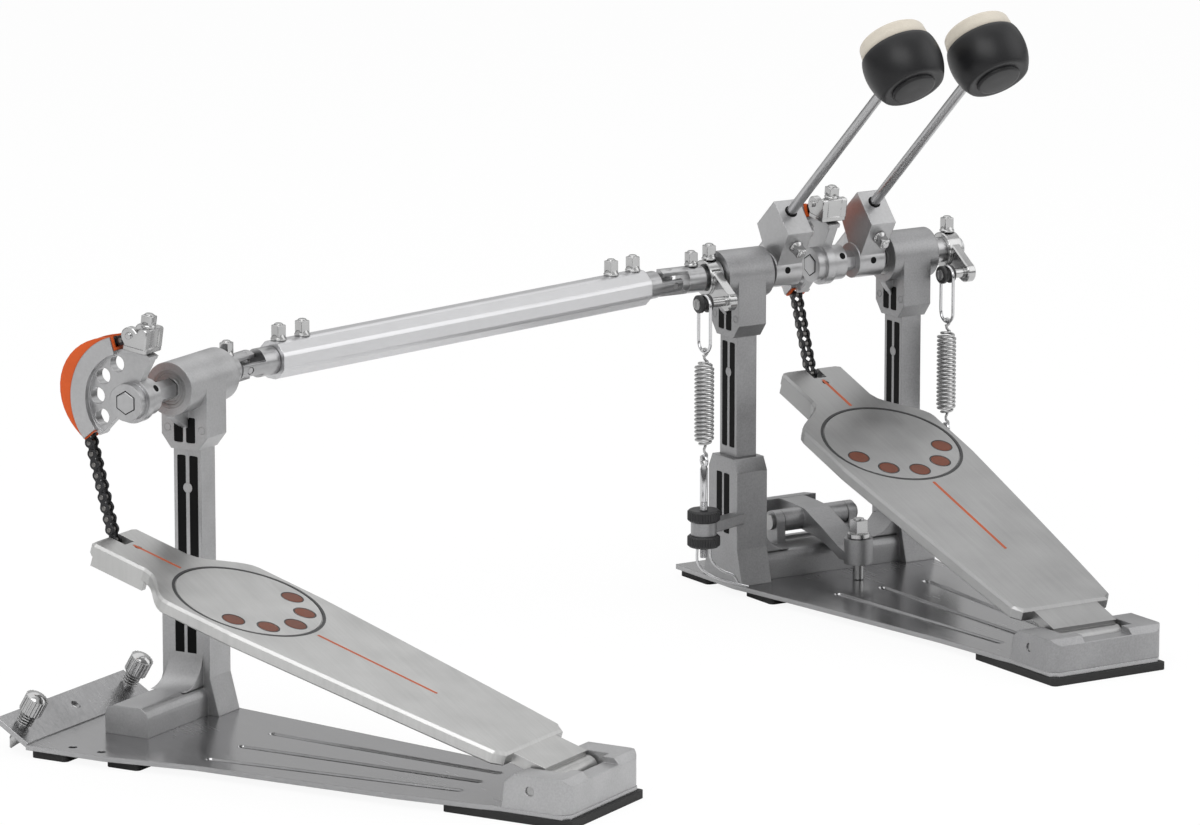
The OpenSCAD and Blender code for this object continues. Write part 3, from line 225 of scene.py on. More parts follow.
AXLE_H = 200.0
HEEL_Y, HEEL_Z = -282, 18.6
SLAVE_X, SLAVE_Y, SLAVE_TURN = -560.756, -139.189, 28
SHAFT_X, SHAFT_Y, SHAFT_TURN = -461.866, -86.608, 14
PEDAL = {"primary": Matrix(), "slave": move(SLAVE_X, SLAVE_Y, 0) @ turn("Z", SLAVE_TURN)}
BOARD_ANGLE = {"primary": 19.2569, "slave": 17.0773}
BOARD = {s: PEDAL[s] @ move(0, HEEL_Y, HEEL_Z) @ turn("X", BOARD_ANGLE[s]) for s in PEDAL}
AXLE = {s: PEDAL[s] @ move(0, 0, AXLE_H) for s in PEDAL}
SHAFT = move(SHAFT_X, SHAFT_Y, AXLE_H) @ turn("Z", SHAFT_TURN)
# Stands an outline up in the YZ plane, so that its prism runs along X
ALONG_X = Matrix(((0, 0, 1, 0), (1, 0, 0, 0), (0, 1, 0, 0), (0, 0, 0, 1)))


# Outlines, in millimetres

def arc(x, y, radius, angles):
    """Points on a circle round x, y at angles in degrees."""
    return [(x + radius * math.cos(a), y + radius * math.sin(a)) for a in map(math.radians, angles)]


def rounded_box(x0, x1, y0, y1, corner, steps=3):
    """Outline of a rectangle with round corners."""
    points = []
    for x, y, start in ((x1 - corner, y0 + corner, -90), (x1 - corner, y1 - corner, 0),
                        (x0 + corner, y1 - corner, 90), (x0 + corner, y0 + corner, 180)):
        points += arc(x, y, corner, [start + 90 * i / steps for i in range(steps + 1)])
    return points


# A knurl only cuts where a turned form is wider than this
KNURL_FROM = 9.0
# Keeps the chamfer of sharp corners from running far inwards
SHARPEST = 0.35


class Build:
    """Collects closed forms in millimetres and turns them into one object."""

    def __init__(self):
        self.verts, self.faces, self.marks = [], [], []

    def add(self, verts, faces, place, mark):
        """Adds one form; mark is the number of its material."""
        first = len(self.verts)
        self.verts += [place @ (Vector(v) * MM) for v in verts]
        self.faces += [[first + i for i in f] for f in faces]
        self.marks += [mark] * len(faces)

    def rings(self, rings, place, mark=0, closed=False):
        """Skins a row of rings with the same number of points, and caps both ends unless closed."""
        count = len(rings[0])
        verts = [p for ring in rings for p in ring]
        faces = []
        rows = len(rings) if closed else len(rings) - 1
        for k in range(rows):
            a, b = k * count, ((k + 1) % len(rings)) * count
            faces += [[a + i, a + (i + 1) % count, b + (i + 1) % count, b + i] for i in range(count)]
        if not closed:
            faces.append(list(range(count))[::-1])
            faces.append([(len(rings) - 1) * count + i for i in range(count)])
        self.add(verts, faces, place, mark)

    def lathe(self, profile, place, steps, mark=0, knurl=0.0):
        """Turns (radius, height) pairs round Z, in the order of their heights."""
        rings = []
        for r, z in profile:
            ring = []
            for i in range(steps):
                a = 2 * math.pi * i / steps
                cut = knurl if i % 2 and r > KNURL_FROM else 0.0
                ring.append(((r - cut) * math.cos(a), (r - cut) * math.sin(a), z))
            rings.append(ring)
        self.rings(rings, place, mark)

    def washer(self, inner, outer, low, high, place, steps, mark=0, edge=0.15):
        """Turns a flat ring round Z with its outer rims broken by a chamfer."""
        low, high = sorted((low, high))
        loop = [(inner, low), (outer - edge, low), (outer, low + edge), (outer, high - edge),
                (outer - edge, high), (inner, high)]
        rings = [[(r * math.cos(2 * math.pi * i / steps), r * math.sin(2 * math.pi * i / steps), z)
                  for r, z in loop] for i in range(steps)]
        self.rings(rings, place, mark, closed=True)

    def prism(self, outline, low, high, place, edge, mark=0):
        """Extrudes a closed outline along Z with its rims broken by a chamfer."""
        low, high = sorted((low, high))
        if sum(p[0] * q[1] - q[0] * p[1] for p, q in zip(outline, outline[1:] + outline[:1])) < 0:
            outline = outline[::-1]
        count = len(outline)
        inset = []
        for i in range(count):
            p, q, r = Vector(outline[i - 1]), Vector(outline[i]), Vector(outline[(i + 1) % count])
            a, b = (q - p).normalized(), (r - q).normalized()
            out = Vector((a.y + b.y, -a.x - b.x))
            inset.append(q - out * (edge / max(SHARPEST, out.length_squared / 2)))
        levels = ((inset, low), (outline, low + edge), (outline, high - edge), (inset, high))
        self.rings([[(p[0], p[1], z) for p in points] for points, z in levels], place, mark)

    def sweep(self, path, radius, place, sides=8, closed=False):
        """Runs a round wire along a path."""
        points = [Vector(p) for p in path]
        count = len(points)
        angles = [2 * math.pi * k / sides for k in range(sides)]
        normal = None
        rings = []
        for i, p in enumerate(points):
            ahead = points[(i + 1) % count] if closed or i < count - 1 else p
            behind = points[i - 1] if closed or i > 0 else p
            along = (ahead - behind).normalized()
            if normal is None:
                normal = along.orthogonal().normalized()
            normal = (normal - along * normal.dot(along)).normalized()
            across = along.cross(normal)
            rings.append([p + (normal * math.cos(a) + across * math.sin(a)) * radius for a in angles])
        self.rings(rings, place, closed=closed)

    def done(self, name, materials, body, slot, nodes_out=(), sharp=32):
        """Makes the object; edges that bend by more than sharp degrees stay crisp."""
        mesh = bpy.data.meshes.new(name)
        mesh.from_pydata([tuple(v) for v in self.verts], [], self.faces)
        for material in materials:
            mesh.materials.append(material)
        mesh.polygons.foreach_set("material_index", self.marks)
        work = bmesh.new()
        work.from_mesh(mesh)
        bmesh.ops.recalc_face_normals(work, faces=work.faces)
        work.to_mesh(mesh)
        work.free()
        mesh.shade_smooth()
        mesh.set_sharp_from_angle(angle=math.radians(sharp))
        mesh.update()
        thing = bpy.data.objects.new(name, mesh)
        bpy.context.scene.collection.objects.link(thing)
        if body:
            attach(thing, body)
        if nodes_out:
            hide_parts(*nodes_out)
        return thing


# Marks on the footboards: a dark ring in its groove, dots and stripes laid flush

BOARD_TOP = 9.9
RING_AT, RING_R, RING_HALF = 219.0, 43.8, 0.95
DOT_CIRCLE, DOT_STEP, DOT_R = 32.3, 36.2, 6.4
STRIPE_HALF, STRIPES = 1.1, ((90.0, 171.5), (266.5, 300.0))
for side in PEDAL:
    inlays, footboard = side + "_board_inlays", side + "_footboard"
    dots = Build()
    for k in (-2, -1, 0, 1, 2):
        a = math.radians(k * DOT_STEP)
        at = BOARD[side] @ move(DOT_CIRCLE * math.sin(a), RING_AT - DOT_CIRCLE * math.cos(a), 0)
        dots.lathe([(DOT_R - 0.2, BOARD_TOP - 0.5), (DOT_R - 0.12, BOARD_TOP - 0.2), (DOT_R - 0.5, BOARD_TOP),
                    (DOT_R - 1.6, BOARD_TOP + 0.06), (1.5, BOARD_TOP + 0.06)], at, 48)
        dots.washer(DOT_R - 0.2, DOT_R + 0.5, BOARD_TOP - 0.5, BOARD_TOP + 0.05, at, 48, mark=1, edge=0.1)
    dots.done(side + "_dots", [dot_skin, black], node_body[inlays], "inlay_orange", [inlays])
    stripes = Build()
    for low, high in STRIPES:
        stripes.prism(rounded_box(-STRIPE_HALF, STRIPE_HALF, low, high, 0.6, 2), BOARD_TOP - 0.4,
                      BOARD_TOP + 0.04, BOARD[side], 0.1)
    stripes.done(side + "_stripes", [inlay], node_body[inlays], "inlay_orange", [inlays])
    ring = Build()
    ring.washer(RING_R - RING_HALF, RING_R + RING_HALF, BOARD_TOP - 0.6, BOARD_TOP + 0.03,
                BOARD[side] @ move(0, RING_AT, 0), 96)
    ring.done(side + "_ring", [black], node_body[footboard], "black_knurl")


# Roller chains: waisted plates, rollers and riveted pins

PITCH, CAM_R = 6.35, 35.0
LINK_TURN = 2 * math.degrees(math.asin(PITCH / 2 / CAM_R))
PLATE_THICK, PLATE_R, WAIST = 0.8, 2.85, 1.7
OUTER_X, INNER_X = 2.45, 1.6
PIN_LINE = [(0.5, -3.9), (1.2, -3.8), (1.45, -3.5), (1.45, -3.2), (1.1, -3.15), (1.1, 3.15),
            (1.45, 3.2), (1.45, 3.5), (1.2, 3.8), (0.5, 3.9)]
ROLLER_LINE = [(1.5, -1.58), (1.9, -1.3), (1.9, 1.3), (1.5, 1.58)]
# The lean of each free chain, the Y and Z of its lowest pin, and its number of links
LEAN = {"primary": 19.961302801, "slave": 14.776198783}
ANCHOR = {"primary": (9.0515, 122.3979), "slave": (12.7886, 111.2534)}
LINKS = {"primary": 11, "slave": 13}
# First and last link on the cam that each moving length holds
CAM_LINKS = (("_chain_lower", 1, 2), ("_chain_upper", 3, 5), ("_chain_clamp", 6, 10))
link_plate = arc(0, 0, PLATE_R, range(150, 391, 20)) + [(WAIST, PITCH / 2)]
link_plate += arc(0, PITCH, PLATE_R, range(-30, 211, 20)) + [(-WAIST, PITCH / 2)]


def add_link(build, place, outer):
    """One link from the pin at its place up to the next."""
    for s in (-1, 1):
        x = s * (OUTER_X if outer else INNER_X)
        build.prism(link_plate, x, x + s * PLATE_THICK, place @ ALONG_X, 0.16)
    for z in (0.0, PITCH):
        at = place @ move(0, 0, z) @ turn("Y", 90)
        if outer:
            build.lathe(PIN_LINE, at, 14, mark=1)
        else:
            build.lathe(ROLLER_LINE, at, 18, mark=1)


def on_cam(side, i):
    """Place of link i on the cam; the first starts where the free chain ends."""
    lean = -LEAN[side] + (i - 1) * LINK_TURN
    a = math.radians(lean)
    return AXLE[side] @ move(0, CAM_R * math.cos(a), CAM_R * math.sin(a)) @ turn("X", lean + LINK_TURN / 2)


for side in PEDAL:
    chain = Build()
    foot = PEDAL[side] @ move(0, *ANCHOR[side]) @ turn("X", -LEAN[side])
    for i in range(LINKS[side]):
        add_link(chain, foot @ move(0, 0, i * PITCH), i % 2 == 0)
    node = side + "_chain_drop"
    chain.done(node + "_links", [chain_skin, pin_skin], node_body[node], "chain_steel", [node])
    for tail, first, last in CAM_LINKS:
        chain = Build()
        for i in range(first, last + 1):
            add_link(chain, on_cam(side, i), i % 2 == 0)
        node = side + tail
        chain.done(node + "_links", [chain_skin, pin_skin], node_body[node], "chain_steel", [node])


# Square-headed key bolts on flanges

# Half width of the square, its height and the radius of the flange
HUB_BOLT = (3.2, 8, 4.7)
HOLDER_BOLT = (3, 7, 4.4)
COLLAR_BOLT = (3.1, 7.4, 4.3)
CLAMP_BOLT = (3.4, 6, 4.4)


def key_bolt(build, place, half, high, flange):
    build.lathe([(flange - 0.3, 0), (flange, 0.35), (flange, 1.1), (flange - 0.5, 1.7), (half * 1.15, 2.4),
                 (half * 0.98, 3.4)], place, 28)
    build.prism(rounded_box(-half, half, -half, half, 0.7), 1.6, high + 1, place, 0.35)
    build.lathe([(half * 0.86, high + 0.6), (half * 0.8, high + 1.6), (half * 0.6, high + 2.05)], place, 24)


HUB_R, TUBE_R, COLLAR_R = 11, 11, 8.4
ROD_X, ROD_OFFSET, ROD_LEAN = 31.0, 20, 48
ROD_Y = ROD_OFFSET * math.cos(math.radians(ROD_LEAN))
ROD_Z = AXLE_H + ROD_OFFSET * math.sin(math.radians(ROD_LEAN))
ROD = {s: move(x, ROD_Y, ROD_Z) @ turn("X", ROD_LEAN) for s, x in (("right", ROD_X), ("left", -ROD_X))}
# Front face of the beater holders, in the frame of the rod: it slopes from top to foot
HOLDER_IN, HOLDER_TOP = 16, 34
HOLDER_FOOT_Y, HOLDER_FOOT_Z = -25, 6.2
HOLDER_BOLT_Z = 24
HOLDER_TILT = math.degrees(math.atan2(-HOLDER_FOOT_Y - HOLDER_IN, HOLDER_TOP - HOLDER_FOOT_Z))
HOLDER_BOLT_Y = -HOLDER_IN - (HOLDER_TOP - HOLDER_BOLT_Z) * math.tan(math.radians(HOLDER_TILT))
for node, s, x in (("primary_axle_bolts", "right", 94.4), ("left_axle_bolts", "left", -83.4)):
    bolts = Build()
    key_bolt(bolts, move(x, 0, AXLE_H + HUB_R), *HUB_BOLT)
    key_bolt(bolts, ROD[s] @ move(0, HOLDER_BOLT_Y, HOLDER_BOLT_Z) @ turn("X", 90 - HOLDER_TILT),
             *HOLDER_BOLT)
    bolts.done(node + "_keyed", [bolt], node_body[node], "bolt_chrome", [node])
bolts = Build()
for x in (30, 49, 309, 328):
    key_bolt(bolts, SHAFT @ move(x, 0, TUBE_R), *HUB_BOLT)
bolts.done("tube_key_bolts", [bolt], node_body["drive_tube_bolts"], "bolt_chrome", ["drive_tube_bolts"])
for node, side, x in (("left_axle", "primary", -96.5), ("slave_axle", "slave", 96.5)):
    bolts = Build()
    key_bolt(bolts, AXLE[side] @ move(x, 0, COLLAR_R), *COLLAR_BOLT)
    bolts.done(node + "_collar_bolt", [bolt], node_body[node], "bolt_chrome")


# Set screws in the hubs, laid flush: node, pedal, place along the axle, radius of the hub, lean
SCREWS = (
    ("primary_cam", "primary", 9.2, 10.8, 60),
    ("slave_cam", "slave", 9.2, 10.8, 55),
    ("left_beater_holder", "primary", -32.5, HUB_R, 86),
    ("right_beater_holder", "primary", 31.5, HUB_R, 86),
)
for node, side, x, r, lean in SCREWS:
    screw = Build()
    at = AXLE[side] @ move(x, 0, 0) @ turn("X", lean)
    screw.lathe([(2.1, r - 1), (2.1, r - 0.02), (1.85, r + 0.06), (0.4, r + 0.06)], at, 24)
    screw.done(node + "_set_screw", [black_and_painted_shade], node_body[node], "black_knurl")


# Ends of the hexagonal axles in the cam hubs, with painted shade in the gap round them
CAM_FACE, HEX_R, GAP_R = -9, 6.35, 7.0
HEX_ANGLES = range(90, 391, 60)
for side in PEDAL:
    end = Build()
    # A near-black hexagon just behind the axle's end paints the shade in the gap between the axle and the hub
    end.prism(arc(0, 0, GAP_R, HEX_ANGLES), CAM_FACE, -8.74, AXLE[side] @ ALONG_X, 0.05, mark=1)
    end.prism(arc(0, 0, HEX_R, HEX_ANGLES), CAM_FACE, -8.4, AXLE[side] @ move(-0.3, 0, 0) @ ALONG_X, 0.3)
    end.done(side + "_axle_end", [axle, black_and_painted_shade], node_body[side + "_axle"], "axle_chrome")


# Painted shade in the countersinks of the holders, and the beater rods: ground, with a chamfered lower end
ROD_R, ROD_LOW, ROD_TOP = 3.2, -18, 171.8
for s in ("right", "left"):
    sink_shade = Build()
    # A near-black ring round the rod paints the shade inside the countersink
    sink_shade.washer(ROD_R + 0.05, 4.1, HOLDER_TOP - 0.4, HOLDER_TOP + 0.06, ROD[s], 40, edge=0.05)
    sink_shade.done(s + "_holder_countersink_shade", [black_and_painted_shade], node_body[s + "_beater_holder"], "black_knurl")
for s in ("right", "left"):
    rod = Build()
    rod.lathe([(ROD_R - 0.9, ROD_LOW), (ROD_R - 0.3, ROD_LOW + 0.3), (ROD_R, ROD_LOW + 0.9),
               (ROD_R, ROD_TOP)], ROD[s], 48)
    node = s + "_beater_rod"
    rod.done(node + "_ground", [ground], node_body[node], "rod_steel", [node], sharp=50)


# Clamps that hold the last link on each cam: a bridge, two lugs, a pin and a key bolt
CLAMP_TURN, CLAMP_HALF, BLOCK_HALF = 8, 9, 5.2
CLAMP_PIN_Y, CLAMP_PIN_Z, LUG_R, LUG_THICK = 2.5, 38.9, 5.4, 4.4
lug = arc(CLAMP_PIN_Y, 38.4, LUG_R, range(-50, 121, 10))
lug += [(-2.2, 41.6), (-3.2, 43.2), (-4.4, 44.2), (-8, 44.2), (-9, 43.2), (-9, 32.8), (-8.2, 32), (4.6, 32)]
for side in PEDAL:
    clamp = Build()
    at = AXLE[side] @ turn("X", CLAMP_TURN)
    clamp.prism(rounded_box(-CLAMP_HALF, CLAMP_HALF, -9, 6, 1.2), 30.05, 33.05, at, 0.4)
    for x in (-CLAMP_HALF, CLAMP_HALF - LUG_THICK):
        clamp.prism(lug, x, x + LUG_THICK, at @ ALONG_X, 0.5)
    clamp.prism(rounded_box(-BLOCK_HALF, BLOCK_HALF, -8.6, -4.6, 0.5), 32.4, 44, at, 0.4)
    clamp.prism(rounded_box(-BLOCK_HALF, BLOCK_HALF, -6, -2.4, 0.5), 39.6, 44, at, 0.3)
    clamp.lathe([(1.5, -10.4), (1.9, -10.1), (1.9, 10.1), (1.5, 10.4)],
                at @ move(0, CLAMP_PIN_Y, CLAMP_PIN_Z) @ turn("Y", 90), 20)
    key_bolt(clamp, at @ move(0, -4, 44), *CLAMP_BOLT)
    node = side + "_chain_clamp"
    clamp.done(node + "_frame", [bolt], node_body[node], "bolt_chrome", [node])


# Beater heads, and their felt discs: soft, slightly domed, with a rolled rim
HEAD_UP, HEAD_R = 195.0, 24.2
# Outlines as shares of the head's radius
HEAD_LINE = [(0.1, -0.765), (0.5, -0.775), (0.545, -0.765), (0.565, -0.74), (0.57, -0.695),
             (0.6, -0.69), (0.7, -0.7), (0.76, -0.7)]
HEAD_LINE += [(0.26 + 0.74 * math.cos(a), 1.02 * math.sin(a)) for a in map(math.radians, range(-42, 21, 3))]
HEAD_LINE += [(0.935, 0.4), (0.9, 0.425), (0.4, 0.43)]
FELT_LINE = [(0.86, 0.42), (0.885, 0.46), (0.875, 0.6)]
FELT_LINE += [(0.76 + 0.1 * math.cos(a), 0.72 + 0.105 * math.sin(a))
              for a in map(math.radians, range(0, 91, 10))]
FELT_LINE += [(0.4, 0.835), (0.15, 0.838)]
for s in ("right", "left"):
    at = ROD[s] @ move(0, 0, HEAD_UP) @ turn("X", -90)
    ball = Build()
    ball.lathe([(HEAD_R * r, HEAD_R * z) for r, z in HEAD_LINE], at, 96)
    ball.washer(3.3, 4.3, -26.2, -22.6, at @ turn("X", 90), 32)
    node = s + "_beater_head"
    ball.done(node + "_turned", [head], node_body[node], "head_black", [node], sharp=40)
    disc = Build()
    disc.lathe([(4, HEAD_R * 0.42)] + [(HEAD_R * r, HEAD_R * z) for r, z in FELT_LINE], at, 96)
    node = s + "_beater_felt"
    disc.done(node + "_soft", [felt], node_body[node], "felt_cream", [node], sharp=60)


# Springs with tapered, hooked ends, and the oval links that hang on the rollers
SPRING_X, SPRING_Y = {"left": -102.0, "right": 78.5}, -23.7
COIL_LOW, COIL_TOP, COIL_R, COIL_END_R, COIL_WIRE_R = 100.6, 153.4, 5.4, 1.2, 0.82
COIL_TURNS, COIL_STEPS, TAPER_TURNS, TAPER_POWER = 21, 14, 1.6, 0.7
HOOK_R, HOOK_LOW, HOOK_TOP = 2.1, 93.8, 158.8
OVAL_R, OVAL_WIRE_R, OVAL_LOW, OVAL_TOP = 6.6, 1.0, 165.4, 187.5
coil_path = [(x, 0, z) for x, z in arc(0, HOOK_LOW, HOOK_R, range(-190, 71, 26))]
coil_path += [(0.2, 0, 96.6), (0, 0, 98.2)]
for i in range(COIL_TURNS * COIL_STEPS + 1):
    t = i / (COIL_TURNS * COIL_STEPS)
    ease = min(1.0, min(t, 1 - t) * COIL_TURNS / TAPER_TURNS)
    r = COIL_END_R + (COIL_R - COIL_END_R) * ease ** TAPER_POWER
    a = 2 * math.pi * i / COIL_STEPS
    coil_path.append((r * math.cos(a), r * math.sin(a), COIL_LOW + (COIL_TOP - COIL_LOW) * t))
coil_path += [(0, 0, 154.9), (-0.2, 0, 156.0)]
coil_path += [(x, 0, z) for x, z in arc(0, HOOK_TOP, HOOK_R, range(-110, 151, 26))]
oval_path = arc(0, OVAL_TOP, OVAL_R, range(0, 181, 15)) + arc(0, OVAL_LOW, OVAL_R, range(180, 361, 15))
for s, x in SPRING_X.items():
    body = node_body[s + "_spring_hook"]
    coil = Build()
    coil.sweep(coil_path, COIL_WIRE_R, move(x, SPRING_Y, 0))
    thing = coil.done(s + "_spring_coil", [wire], None, "spring_steel", [s + "_spring"], sharp=80)
    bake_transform(thing)
    oval = Build()
    oval.sweep([(0, y, z) for y, z in oval_path], OVAL_WIRE_R, move(x, SPRING_Y, 0), 10, closed=True)
    oval.done(s + "_oval_link", [chrome], body, "rod_steel", [s + "_spring_hook"], sharp=80)


# Rockers: a ring on the axle, a tapered arm and a black roller on a slotted screw
ARM_LENGTH, ARM_ANGLE, ARM_WIDE, ARM_NARROW = 25, 206.5, 9.5, 6.2
ROLLER_Y = ARM_LENGTH * math.cos(math.radians(ARM_ANGLE))
ROLLER_Z = ARM_LENGTH * math.sin(math.radians(ARM_ANGLE))
SCREW_END = 4.5
taper = math.degrees(math.asin((ARM_WIDE - ARM_NARROW) / ARM_LENGTH))
arm = []
for y, z, r, start, end in ((0, 0, ARM_WIDE, ARM_ANGLE + 90 + taper, ARM_ANGLE + 270 - taper),
                            (ROLLER_Y, ROLLER_Z, ARM_NARROW, ARM_ANGLE - 90 - taper, ARM_ANGLE + 90 + taper)):
    arm += arc(y, z, r, [start + (end - start) * i / 16 for i in range(17)])
for s, start in (("right", 89.4), ("left", -88.4)):
    x = SPRING_X[s]
    place = AXLE["primary"] @ move(0, ROLLER_Y, ROLLER_Z)
    at = place @ turn("Y", 90)
    rocker, roller = Build(), Build()
    rocker.washer(5.05, 11, start, start + 10, AXLE["primary"] @ turn("Y", 90), 64, edge=0.6)
    rocker.prism(arm, start + 2, start + 8, AXLE["primary"] @ ALONG_X, 0.7)
    rocker.lathe([(3, x + 4), (3, start + 3)], at, 20)
    roller.lathe([(4.9, x - SCREW_END), (5.6, x - 3.9), (5.6, x - 2.1), (5.2, x - 1.5), (4, x - 1.2),
                  (4, x + 1.2), (5.2, x + 1.5), (5.6, x + 2.1), (5.6, x + 3.9), (4.9, x + SCREW_END)], at, 40)
    for way in (-1, 1):
        end = x + way * SCREW_END
        roller.lathe([(3.4, level) for level in sorted((end, end + way * 0.5))], at, 28, mark=1)
        for y in (-1.9, 1.9):
            roller.prism(rounded_box(y - 1.3, y + 1.3, -2.4, 2.4, 0.6), end + way * 0.4, end + way * 0.9,
                         place @ ALONG_X, 0.1, mark=1)
    node = s + "_spring_rocker"
    rocker.done(node + "_arm", [bolt], node_body[node], "bolt_chrome", [node])
    roller.done(node + "_roller", [black, turned], node_body[node], "black_knurl", [node])


# Threaded tension rods that end in an eye
THREAD_LOW, THREAD_STEP, THREAD_COUNT, THREAD_R, ROOT_R = 30.3, 0.7, 50, 2.5, 2.12
EYE_R, EYE_WIRE_R, EYE_Z = 3.0, 1.1, 90.8
thread = []
for i in range(THREAD_COUNT):
    thread += [(THREAD_R, THREAD_LOW + i * THREAD_STEP), (ROOT_R, 30.65 + i * THREAD_STEP)]
rods = Build()
for x in SPRING_X.values():
    at = move(x, SPRING_Y, 0)
    rods.lathe([(2.0, 30.0)] + thread + [(THREAD_R, 65.5), (THREAD_R, 85.6), (1.7, 87.9)], at, 20)
    rods.sweep([(0, y, z) for y, z in arc(0, EYE_Z, EYE_R, range(0, 360, 15))], EYE_WIRE_R, at, 10,
               closed=True)
rods.done("eyed_rods", [chrome], node_body["spring_tension_rods"], "rod_steel", ["spring_tension_rods"],
          sharp=30)


# Knurled tension nuts
nuts = Build()
for x in SPRING_X.values():
    for low, high in ((37.1, 44.4), (53.1, 60.4)):
        nuts.lathe([(6.5, low), (8.9, low), (10.2, low + 1.1), (10.2, high - 1.1), (8.9, high), (6.5, high)],
                   move(x, SPRING_Y, 0), 72, knurl=0.55)
nuts.done("knurled_nuts", [black], node_body["spring_tension_nuts"], "black_knurl", ["spring_tension_nuts"],
          sharp=25)


# Bent wire that keeps the left tension rod from turning, smoothed between its corners
CLIP_WIRE_R, CLIP_STEPS = 0.85, 5
clip = Build()
for x, y in ((-108.6, -26.5), (-95.6, -21.5)):
    corners = [Vector(p) for p in ((x, y, 36.9), (x, y, 29.5), (x + 2.6, y, 24.5), (x + 9, y, 19.5),
                                   (x + 17, y, 15.5), (-74.5, y, 9.6), (-71.0, y, 8.4))]
    smooth = []
    for i in range(len(corners) - 1):
        p0, p1 = corners[max(i - 1, 0)], corners[i]
        p2, p3 = corners[i + 1], corners[min(i + 2, len(corners) - 1)]
        for k in range(CLIP_STEPS):
            t = k / CLIP_STEPS
            smooth.append(0.5 * (2 * p1 + (p2 - p0) * t + (2 * p0 - 5 * p1 + 4 * p2 - p3) * t * t
                                 + (3 * p1 - p0 - 3 * p2 + p3) * t ** 3))
    smooth.append(corners[-1])
    clip.sweep(smooth, CLIP_WIRE_R, Matrix())
clip.done("rod_wire", [chrome], node_body["spring_tension_rods"], "rod_steel", sharp=80)


# Dark slots of the posts, blocks and towers, with their bosses and moulding marks
POST_X, SLOT_Y, BOSS_Z, MARK_Y, MARK_Z = 61.5, 4.1, 139, 11.6, 174
# Distance of the face from the middle of the post, foot and top of the slot, and half its width
SLOTS = ((7.25, 92, 158, 2.9), (10, 166, 181, 3.1), (11, 38, 76, 3.1))
for side, places, node, skin in (("primary", (-POST_X, POST_X), "primary_uprights", cast_main),
                                 ("slave", (POST_X,), "slave_upright", cast_slave)):
    liners = Build()
    for x in places:
        for s in (-1, 1):
            for half, low, high, wide in SLOTS:
                face = x + s * half
                for y in (-SLOT_Y, SLOT_Y):
                    liners.prism(rounded_box(y - wide, y + wide, low + 0.1, high - 0.1, 0.8),
                                 face - s * 0.6, face + s * 0.06, PEDAL[side] @ ALONG_X, 0.05)
            out = turn("Y", 90 * s)
            liners.lathe([(3.1, 7), (3.1, 7.25), (2.8, 7.5), (1.2, 7.5)],
                         PEDAL[side] @ move(x, 0, BOSS_Z) @ out, 32, mark=1)
            for y in (-MARK_Y, MARK_Y):
                liners.washer(1.9, 2.4, 9.8, 10.14, PEDAL[side] @ move(x, y, MARK_Z) @ out, 28, mark=1,
                              edge=0.1)
    liners.done(side + "_slots", [black_and_painted_shade, skin], node_body[node], "black_knurl")


# Shields and races of the bearings, with painted shade in the gaps beside the shields, at both faces of each
# housing
HOUSINGS = {"primary": ((-78, -45), (45, 78)), "slave": ((36, 86),)}
# Inner and outer radius, depth behind the face, and number of the material
# The sunk near-black ring paints the shade in the gaps on either side of the shield
SHIELD_RINGS = ((6.9, 9.3, 0.6, 1), (7.3, 8.9, 0.25, 0))
for side, spans in HOUSINGS.items():
    shields = Build()
    for low, high in spans:
        for face, s in ((low, 1), (high, -1)):
            for inner, outer, deep, mark in SHIELD_RINGS:
                shields.washer(inner, outer, face + s * deep, face + s * 1.2, AXLE[side] @ turn("Y", 90), 48,
                               mark=mark)
    shields.done(side + "_bearing_shields", [turned, black_and_painted_shade], node_body[side + "_bearings"], "black_knurl")


# Light and floor

# Grey of the studio that metal mirrors, from straight below to straight above
STUDIO_GREYS = ((0.0, 0.5), (0.38, 0.12), (0.52, 0.14), (0.64, 1.0), (1.0, 1.0))
STUDIO_STRENGTH = 0.75
FLOOR_GREY, FLOOR_GLOW, FLOOR_HALF = 0.86, 0.92, 30

world = bpy.data.worlds.new("world")
bpy.context.scene.world = world
world.use_nodes = True
world_tree = world.node_tree
world_tree.nodes.clear()
out = world_tree.nodes.new("ShaderNodeOutputWorld")
path = world_tree.nodes.new("ShaderNodeLightPath")
place = world_tree.nodes.new("ShaderNodeTexCoord")
split = world_tree.nodes.new("ShaderNodeSeparateXYZ")
ramp = world_tree.nodes.new("ShaderNodeValToRGB")
for position, level in STUDIO_GREYS:
    stop = ramp.color_ramp.elements.new(position)
    stop.color = (level, level, level, 1)
lit = world_tree.nodes.new("ShaderNodeMapRange")
lit.inputs["From Min"].default_value, lit.inputs["From Max"].default_value = -1, 1
world_tree.links.new(place.outputs["Generated"], split.inputs[0])
world_tree.links.new(split.outputs["Z"], lit.inputs["Value"])
world_tree.links.new(lit.outputs["Result"], ramp.inputs["Fac"])
studio = world_tree.nodes.new("ShaderNodeBackground")
studio.inputs["Strength"].default_value = STUDIO_STRENGTH
world_tree.links.new(ramp.outputs["Color"], studio.inputs["Color"])
seen = world_tree.nodes.new("ShaderNodeBackground")
seen.inputs["Color"].default_value = (1, 1, 1, 1)
seen.inputs["Strength"].default_value = 1.0
pick = world_tree.nodes.new("ShaderNodeMixShader")
world_tree.links.new(path.outputs["Is Camera Ray"], pick.inputs["Fac"])
world_tree.links.new(studio.outputs[0], pick.inputs[1])
world_tree.links.new(seen.outputs[0], pick.inputs[2])
world_tree.links.new(pick.outputs[0], out.inputs["Surface"])


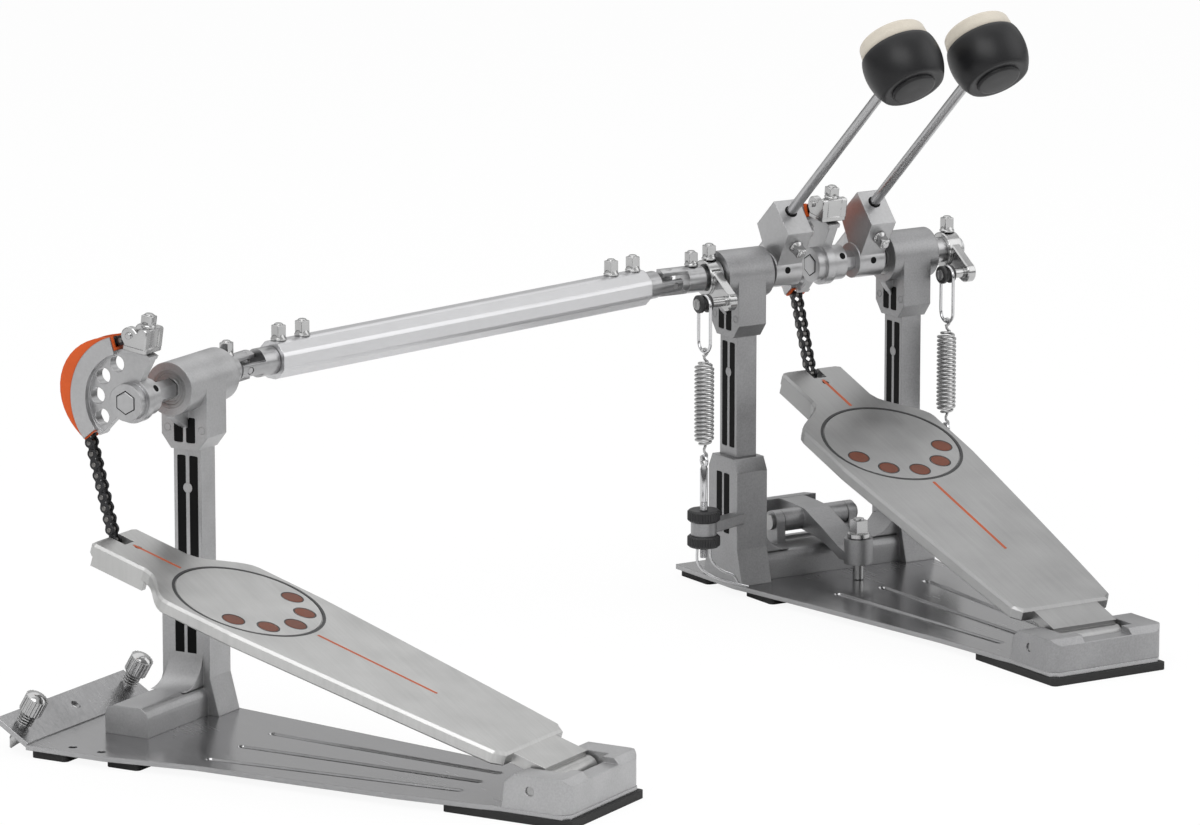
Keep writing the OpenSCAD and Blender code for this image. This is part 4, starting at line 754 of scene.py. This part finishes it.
def softbox(name, place, aim, size, power):
    light = bpy.data.lights.new(name, "AREA")
    light.shape, light.size, light.size_y, light.energy = "RECTANGLE", size[0], size[1], power
    thing = bpy.data.objects.new(name, light)
    bpy.context.scene.collection.objects.link(thing)
    thing.location = place
    thing.rotation_mode = "QUATERNION"
    thing.rotation_quaternion = (Vector(aim) - Vector(place)).to_track_quat("-Z", "Y")


softbox("key", (-1.6, -1.6, 2.2), (-0.2, -0.1, 0.1), (2.4, 1.8), 38)
softbox("fill", (1.8, -1.2, 1.4), (-0.2, -0.1, 0.1), (2.0, 2.0), 14)
softbox("top", (-0.2, 0.6, 2.4), (-0.3, -0.1, 0.1), (3.4, 2.6), 20)

floor_mesh = bpy.data.meshes.new("floor")
floor_mesh.from_pydata([(-FLOOR_HALF, -FLOOR_HALF, 0), (FLOOR_HALF, -FLOOR_HALF, 0),
                        (FLOOR_HALF, FLOOR_HALF, 0), (-FLOOR_HALF, FLOOR_HALF, 0)], [], [(0, 1, 2, 3)])
floor = bpy.data.objects.new("floor", floor_mesh)
bpy.context.scene.collection.objects.link(floor)
# The camera sees the floor nearly white, and it keeps the pedal's shadow
floor_skin, floor_tree, floor_shader = node_tree("floor")
floor_shader.inputs["Base Color"].default_value = (FLOOR_GREY, FLOOR_GREY, FLOOR_GREY, 1)
floor_shader.inputs["Roughness"].default_value = 0.9
glow = floor_tree.nodes.new("ShaderNodeEmission")
glow.inputs["Strength"].default_value = 1.0
floor_mix = floor_tree.nodes.new("ShaderNodeMixShader")
floor_path = floor_tree.nodes.new("ShaderNodeLightPath")
floor_seen = floor_tree.nodes.new("ShaderNodeMath")
floor_seen.operation = "MULTIPLY"
floor_seen.inputs[1].default_value = FLOOR_GLOW
floor_tree.links.new(floor_path.outputs["Is Camera Ray"], floor_seen.inputs[0])
floor_tree.links.new(floor_seen.outputs[0], floor_mix.inputs["Fac"])
floor_tree.links.new(floor_shader.outputs[0], floor_mix.inputs[1])
floor_tree.links.new(glow.outputs[0], floor_mix.inputs[2])
floor_tree.links.new(floor_mix.outputs[0], floor_tree.nodes["Material Output"].inputs["Surface"])
floor_mesh.materials.append(floor_skin)
